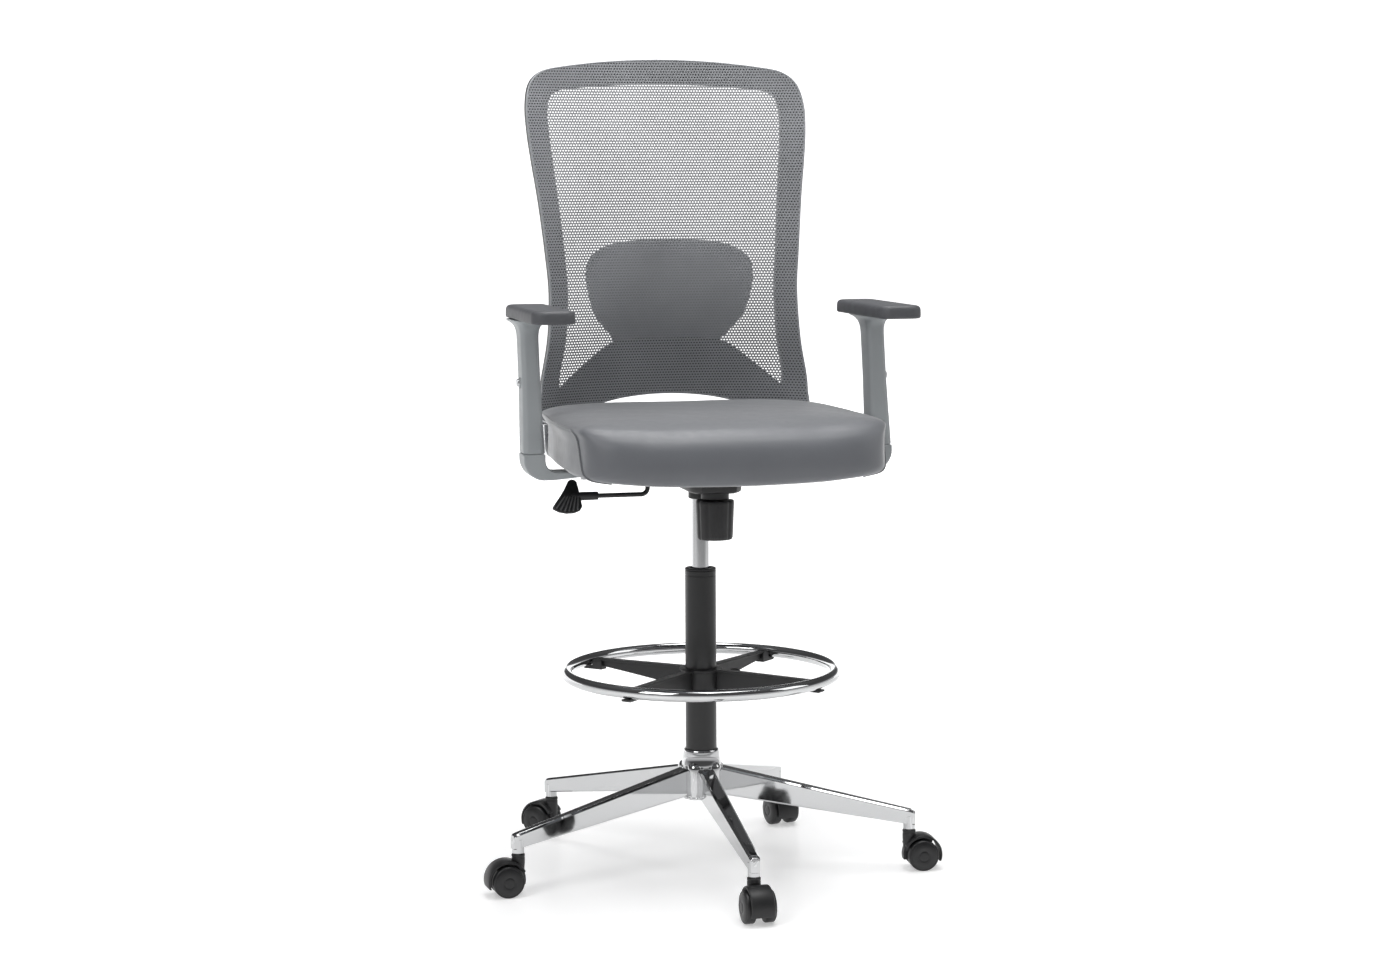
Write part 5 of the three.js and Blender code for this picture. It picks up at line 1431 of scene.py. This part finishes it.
    def lattice(self) -> None:
        """Builds the mesh as real open work: staggered six-sided holes, each cell's rim raised into a knot.

        Cells stand in rows like bricks. A cell has six points on its border and six round its hole; the border's
        stand proud of the hole's. Points past the frame's edge are drawn back to it.
        """
        columns = np.arange(-self.lattice_reach, self.lattice_reach + 1)
        rows = np.arange(self.lattice_rows)
        row, column = (a.ravel() for a in np.meshgrid(rows, columns, indexing="ij"))
        middle_x = (column + 0.5 * (row % 2)) * self.pitch_x
        middle_z = self.lattice_foot + row * self.pitch_z
        border = np.array([(1, -1), (1, 1), (0, 1), (-1, 1), (-1, -1), (0, -1)]) * (self.pitch_x / 2, self.pitch_z / 2)
        hole = np.array([(1, -0.5), (1, 0.5), (0, 1), (-1, 0.5), (-1, -0.5), (0, -1)]) * (self.hole_x, self.hole_z)
        ring = np.concatenate((border, hole))
        x = middle_x[:, None] + ring[None, :, 0]
        z = middle_z[:, None] + ring[None, :, 1]
        x, z, inside = self.within(x, z)
        kept = inside.sum(axis=1) >= 4
        x, z = x[kept], z[kept]
        lift = self.mesh_lift + np.concatenate((np.full(6, -self.knot), np.full(6, self.knot)))
        points = self.on(x, z, lift[None, :])
        i = np.arange(6)
        quads = np.stack((i, (i + 1) % 6, (i + 1) % 6 + 6, i + 6), axis=-1)
        faces = (np.arange(len(x))[:, None, None] * 12 + quads[None]).reshape(-1, 4)
        form = self.form("back_mesh_weave")
        form.add_faces(points, faces.tolist())
        weave = form.build(Finishes.YARN, "seat", "mesh_grey", ["back_mesh"], sharp=180, open_sheet=True)

    def welt(self) -> None:
        """Builds the mesh's edge cord, round the frame's outer outline."""
        outer, inner = self.outlines(420)
        inward = (inner - outer) / np.linalg.norm(inner - outer, axis=1, keepdims=True)
        flat = outer + 1.6 * inward
        form = self.form("back_mesh_welt")
        form.add(tube(self.on(flat[:, 0], flat[:, 1], -0.4), 1.7, 10, closed=True), rows_close=True)
        form.build(Finishes.WELT, "seat", "mesh_grey", sharp=60)

    def lumbar(self) -> None:
        """Builds the lumbar shield with its rounded shoulders, and the tongue behind the cross member."""
        half = graded([(847, 95), (857, 103), (868, 113), (882, 124), (905, 134), (940, 142), (965, 147), (990, 148),
                       (1010, 146)])
        crown = graded([(0, 1010), (60, 1009), (95, 1004), (118, 995), (132, 984), (142, 968), (148, 945)])
        u = np.linspace(-1, 1, 49)[None, :]
        v = np.linspace(0, 1, 33)[:, None]
        z = self.shield_foot + (crown(np.abs(u) * self.shield_half) - self.shield_foot) * v
        x = u * half(z)
        edge = np.minimum(np.minimum(v, 1 - v) * 12, (1 - np.abs(u)) * 14)
        round_over = 3.4 * (1 - np.sqrt(np.clip(1 - (1 - np.minimum(edge, 1)) ** 2, 0, 1)))
        form = self.form("lumbar_shield")
        form.add_slab(self.on(x, z, 7 + round_over), self.on(x, z, 16 - round_over))
        # Each strip's foot, head, front face, back face and reach to either side: the tongue, its shoulder, then the
        # shield's lower lip and the ledge that joins the lip to the shield.
        strips = ((790, 872, 21, 26, 30), (855, 872, 11, 25, 30), (836, 862, 20.6, 22.4, 93), (857, 862, 14, 22, 93))
        for low, high, front, back, reach in strips:
            tall = np.linspace(low, high, 10)[:, None]
            strip_x = np.linspace(-reach, reach, 21)[None, :] * np.ones_like(tall)
            tall = tall * np.ones_like(strip_x)
            form.add_slab(self.on(strip_x, tall, front), self.on(strip_x, tall, back))
        form.build(Finishes.LUMBAR, "lumbar", "black_plastic", ["lumbar_pad"], sharp=50)

    def strut(self, side: str, sign: float) -> None:
        """Builds a strut: flat bar from under the seat, bent up its side, with a flat head behind the frame and two
        screws in it.

        Args:
            side: Left or right, as in the names of parts.
            sign: 1 for the left strut and -1 for the right.
        """
        outline = np.concatenate((
            [(100, 653.7)], arc(20, -90, 0, 10, (202, 673.7)), [(223, 712)], [(215, 712)],
            arc(12, 0, -90, 10, (202, 673.7)), [(100, 661.7)],
        ))
        form = self.form(f"back_strut_{side}_bar")
        rings = [np.insert(outline, 1, y, axis=1) * (sign, 1, 1) for y in (164, 204)]
        form.add(np.stack(rings))
        x = np.linspace(196, 226, 9)[None, :] * np.ones((16, 1))
        z = np.linspace(699, 776, 16)[:, None] * np.ones((1, 9))
        form.add_slab(self.on(x, z, 21) * (sign, 1, 1), self.on(x, z, 28) * (sign, 1, 1))
        form.build(Finishes.ALUMINIUM, "seat", "grey_plastic", [f"back_strut_{side}"], bevel_mm=1.2, sharp=50)
        screws = self.form(f"back_strut_{side}_screws")
        head = [(5.4, 0), (5.4, 1.4), (4.4, 3), (2.8, 3.4), (2.4, 1.6), (0, 1.6), (0, 0.4)]
        for height in (736, 762):
            behind = self.on(np.array(211.0), np.array(float(height)), 27.6) * (sign, 1, 1)
            screws.add_across(head, behind, (0.25 * sign, 0.97, 0), 24)
        screws.build(Finishes.STEEL, "seat", "steel")

    def build(self) -> None:
        """Builds the whole back."""
        self.frame()
        self.lattice()
        self.welt()
        self.lumbar()
        for side, sign in SIDES:
            self.strut(side, sign)


# ---------------------------------------------------------------- carried-over parts and studio


def dress_inner_parts(nodes: dict[str, bpy.types.Object]) -> None:
    """Gives every CAD part that stays in view, or hidden inside, its own finish.

    Args:
        nodes: The frame's parts by name.
    """
    dress = {
        Finishes.STEEL: ("thrust_bearing", "piston_rod", "valve_pin", "tilt_pin", "tension_spring", "tension_bolt"),
        Finishes.MECHANISM: ("seat_plate",),
        Finishes.BLACK_PLASTIC: ("seat_pan", "lever_bush"),
    }
    castor_parts = tuple(f"castor_{i}_{part}" for i in range(1, 6) for part in ("stem", "axle"))
    dress[Finishes.STEEL] += castor_parts
    for finish, names in dress.items():
        for name in names:
            materials = nodes[name].data.materials
            materials.clear()
            materials.append(finish.value.material())
            LOG.info("%s: %s", name, finish.value.name)


@dataclass
class Studio:
    """Pale seamless floor, soft lights and the camera."""

    origin: Array
    lens: float = 70.4
    place: tuple[float, float, float] = (-1.01769, -4.23897, 1.11376)
    azimuth: float = -13.5
    pitch: float = 6.32
    roll: float = -0.26
    dark_edge: float = -2.6
    glow_edge: float = -1.3
    near_edge: float = 0.8
    far_edge: float = 3.5
    near_glow: float = 0.4
    far_glow: float = 1.0

    def floor(self) -> None:
        """A pale floor that glows a little, more so far behind the chair, where it curves up into a low backdrop."""
        rise = arc(2.2, -90, 0, 16, (8.0, 2.2))
        profile = np.concatenate(([(-12.0, 0.0)], rise))
        x = np.array([-14.0, 14.0])
        grid = np.stack([np.stack((x, np.full(2, y), np.full(2, z)), axis=-1) for y, z in profile])
        mesh = bpy.data.meshes.new("floor")
        mesh.from_pydata(grid.reshape(-1, 3).tolist(), [], grid_faces(len(profile), 2).tolist())
        mesh.shade_smooth()
        pale = Shader("floor_pale", (0.9, 0.9, 0.9), 0.3, 0.0)
        pale.surface.inputs["Specular IOR Level"].default_value = 0.4
        pale.rough(pale.noise(3), 0.22, 0.3)
        pale.surface.inputs["Emission Color"].default_value = (1, 1, 1, 1)
        glow = pale.tree.nodes.new("ShaderNodeMath")
        glow.operation = "MULTIPLY"
        pale.tree.links.new(pale.ramp(self.near_edge, self.far_edge, self.near_glow, self.far_glow), glow.inputs[0])
        pale.tree.links.new(pale.ramp(self.dark_edge, self.glow_edge, 0.0, 1.0), glow.inputs[1])
        pale.tree.links.new(glow.outputs["Value"], pale.surface.inputs["Emission Strength"])
        mesh.materials.append(pale.material)
        floor = bpy.data.objects.new("floor", mesh)
        bpy.context.scene.collection.objects.link(floor)

    def sky(self) -> None:
        """The room's walls and ceiling as a world: pale at the horizon, dark overhead."""
        world = bpy.data.worlds.new("studio")
        world.use_nodes = True
        tree = world.node_tree
        place = tree.nodes.new("ShaderNodeTexCoord")
        split = tree.nodes.new("ShaderNodeSeparateXYZ")
        ramp = tree.nodes.new("ShaderNodeValToRGB")
        tree.links.new(place.outputs["Generated"], split.inputs["Vector"])
        tree.links.new(split.outputs["Z"], ramp.inputs["Fac"])
        tree.links.new(ramp.outputs["Color"], tree.nodes["Background"].inputs["Color"])
        stops = ramp.color_ramp.elements
        stops[0].position, stops[0].color = 0.0, (0.8, 0.8, 0.8, 1)
        stops[1].position, stops[1].color = 1.0, (0.16, 0.16, 0.17, 1)
        for position, grey in ((0.1, 0.6), (0.22, 0.1), (0.5, 0.07), (0.75, 0.12)):
            stops.new(position).color = (grey, grey, grey * 1.02, 1)
        bpy.context.scene.world = world

    def light(self, name: str, place: tuple, target: tuple, size: float, power: float) -> None:
        """A soft square area light that looks at a target.

        Args:
            name: The light's name.
            place: Where it hangs.
            target: What it looks at.
            size: Its side in metres.
            power: Its power in watts.
        """
        lamp = bpy.data.lights.new(name, "AREA")
        lamp.size = size
        lamp.energy = power
        made = bpy.data.objects.new(name, lamp)
        bpy.context.scene.collection.objects.link(made)
        made.location = Vector(place)
        made.rotation_euler = (Vector(target) - Vector(place)).to_track_quat("-Z", "Y").to_euler()

    def build(self) -> None:
        """Builds floor, lights, world and camera."""
        self.floor()
        self.sky()
        self.light("key", (-2.7, -2.0, 3.0), (0, 0, 0.8), 1.8, 58)
        self.light("fill", (3.2, -1.0, 2.4), (0, 0, 0.8), 1.8, 18)
        self.light("top", (0.2, -0.3, 3.4), (0, 0, 0.6), 2.0, 76)
        self.light("rear", (0.3, 1.2, 3.7), (0, 0, 0.8), 1.2, 24)
        camera = bpy.data.cameras.new("camera")
        camera.lens = self.lens
        camera.sensor_width = 36
        made = bpy.data.objects.new("camera", camera)
        bpy.context.scene.collection.objects.link(made)
        turn = (
            Matrix.Rotation(math.radians(self.azimuth), 4, "Z")
            @ Matrix.Rotation(math.radians(90 - self.pitch), 4, "X")
            @ Matrix.Rotation(math.radians(self.roll), 4, "Z")
        )
        made.matrix_world = Matrix.Translation(Vector(self.place) + Vector(self.origin)) @ turn
        bpy.context.scene.camera = made


def main() -> None:
    """Loads the frame, builds each sub-assembly on it and sets up the studio."""
    logging.basicConfig(level=logging.INFO, format="%(name)s %(message)s")
    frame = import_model()
    low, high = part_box("outer_column")
    origin = np.array(((low.x + high.x) / 2, (low.y + high.y) / 2, 0.0))
    bpy.context.scene.view_settings.view_transform = "Standard"

    base = StarBase(origin)
    headings = (272.5, -5.0, 282.0, 134.5, 184.5)
    parts = [base]
    parts += [Castor(origin, i, angle, heading) for i, (angle, heading) in enumerate(zip(base.angles, headings), 1)]
    parts += [Column(origin), FootRing(origin), Mechanism(origin), LiftLever(origin), Seat(origin)]
    parts += [Arm(origin, side, sign) for side, sign in SIDES]
    parts += [Back(origin), Studio(origin)]
    for part in parts:
        part.build()
        LOG.info("%s built", type(part).__name__)
    dress_inner_parts(frame["nodes"])


if __name__ == "__main__":
    main()
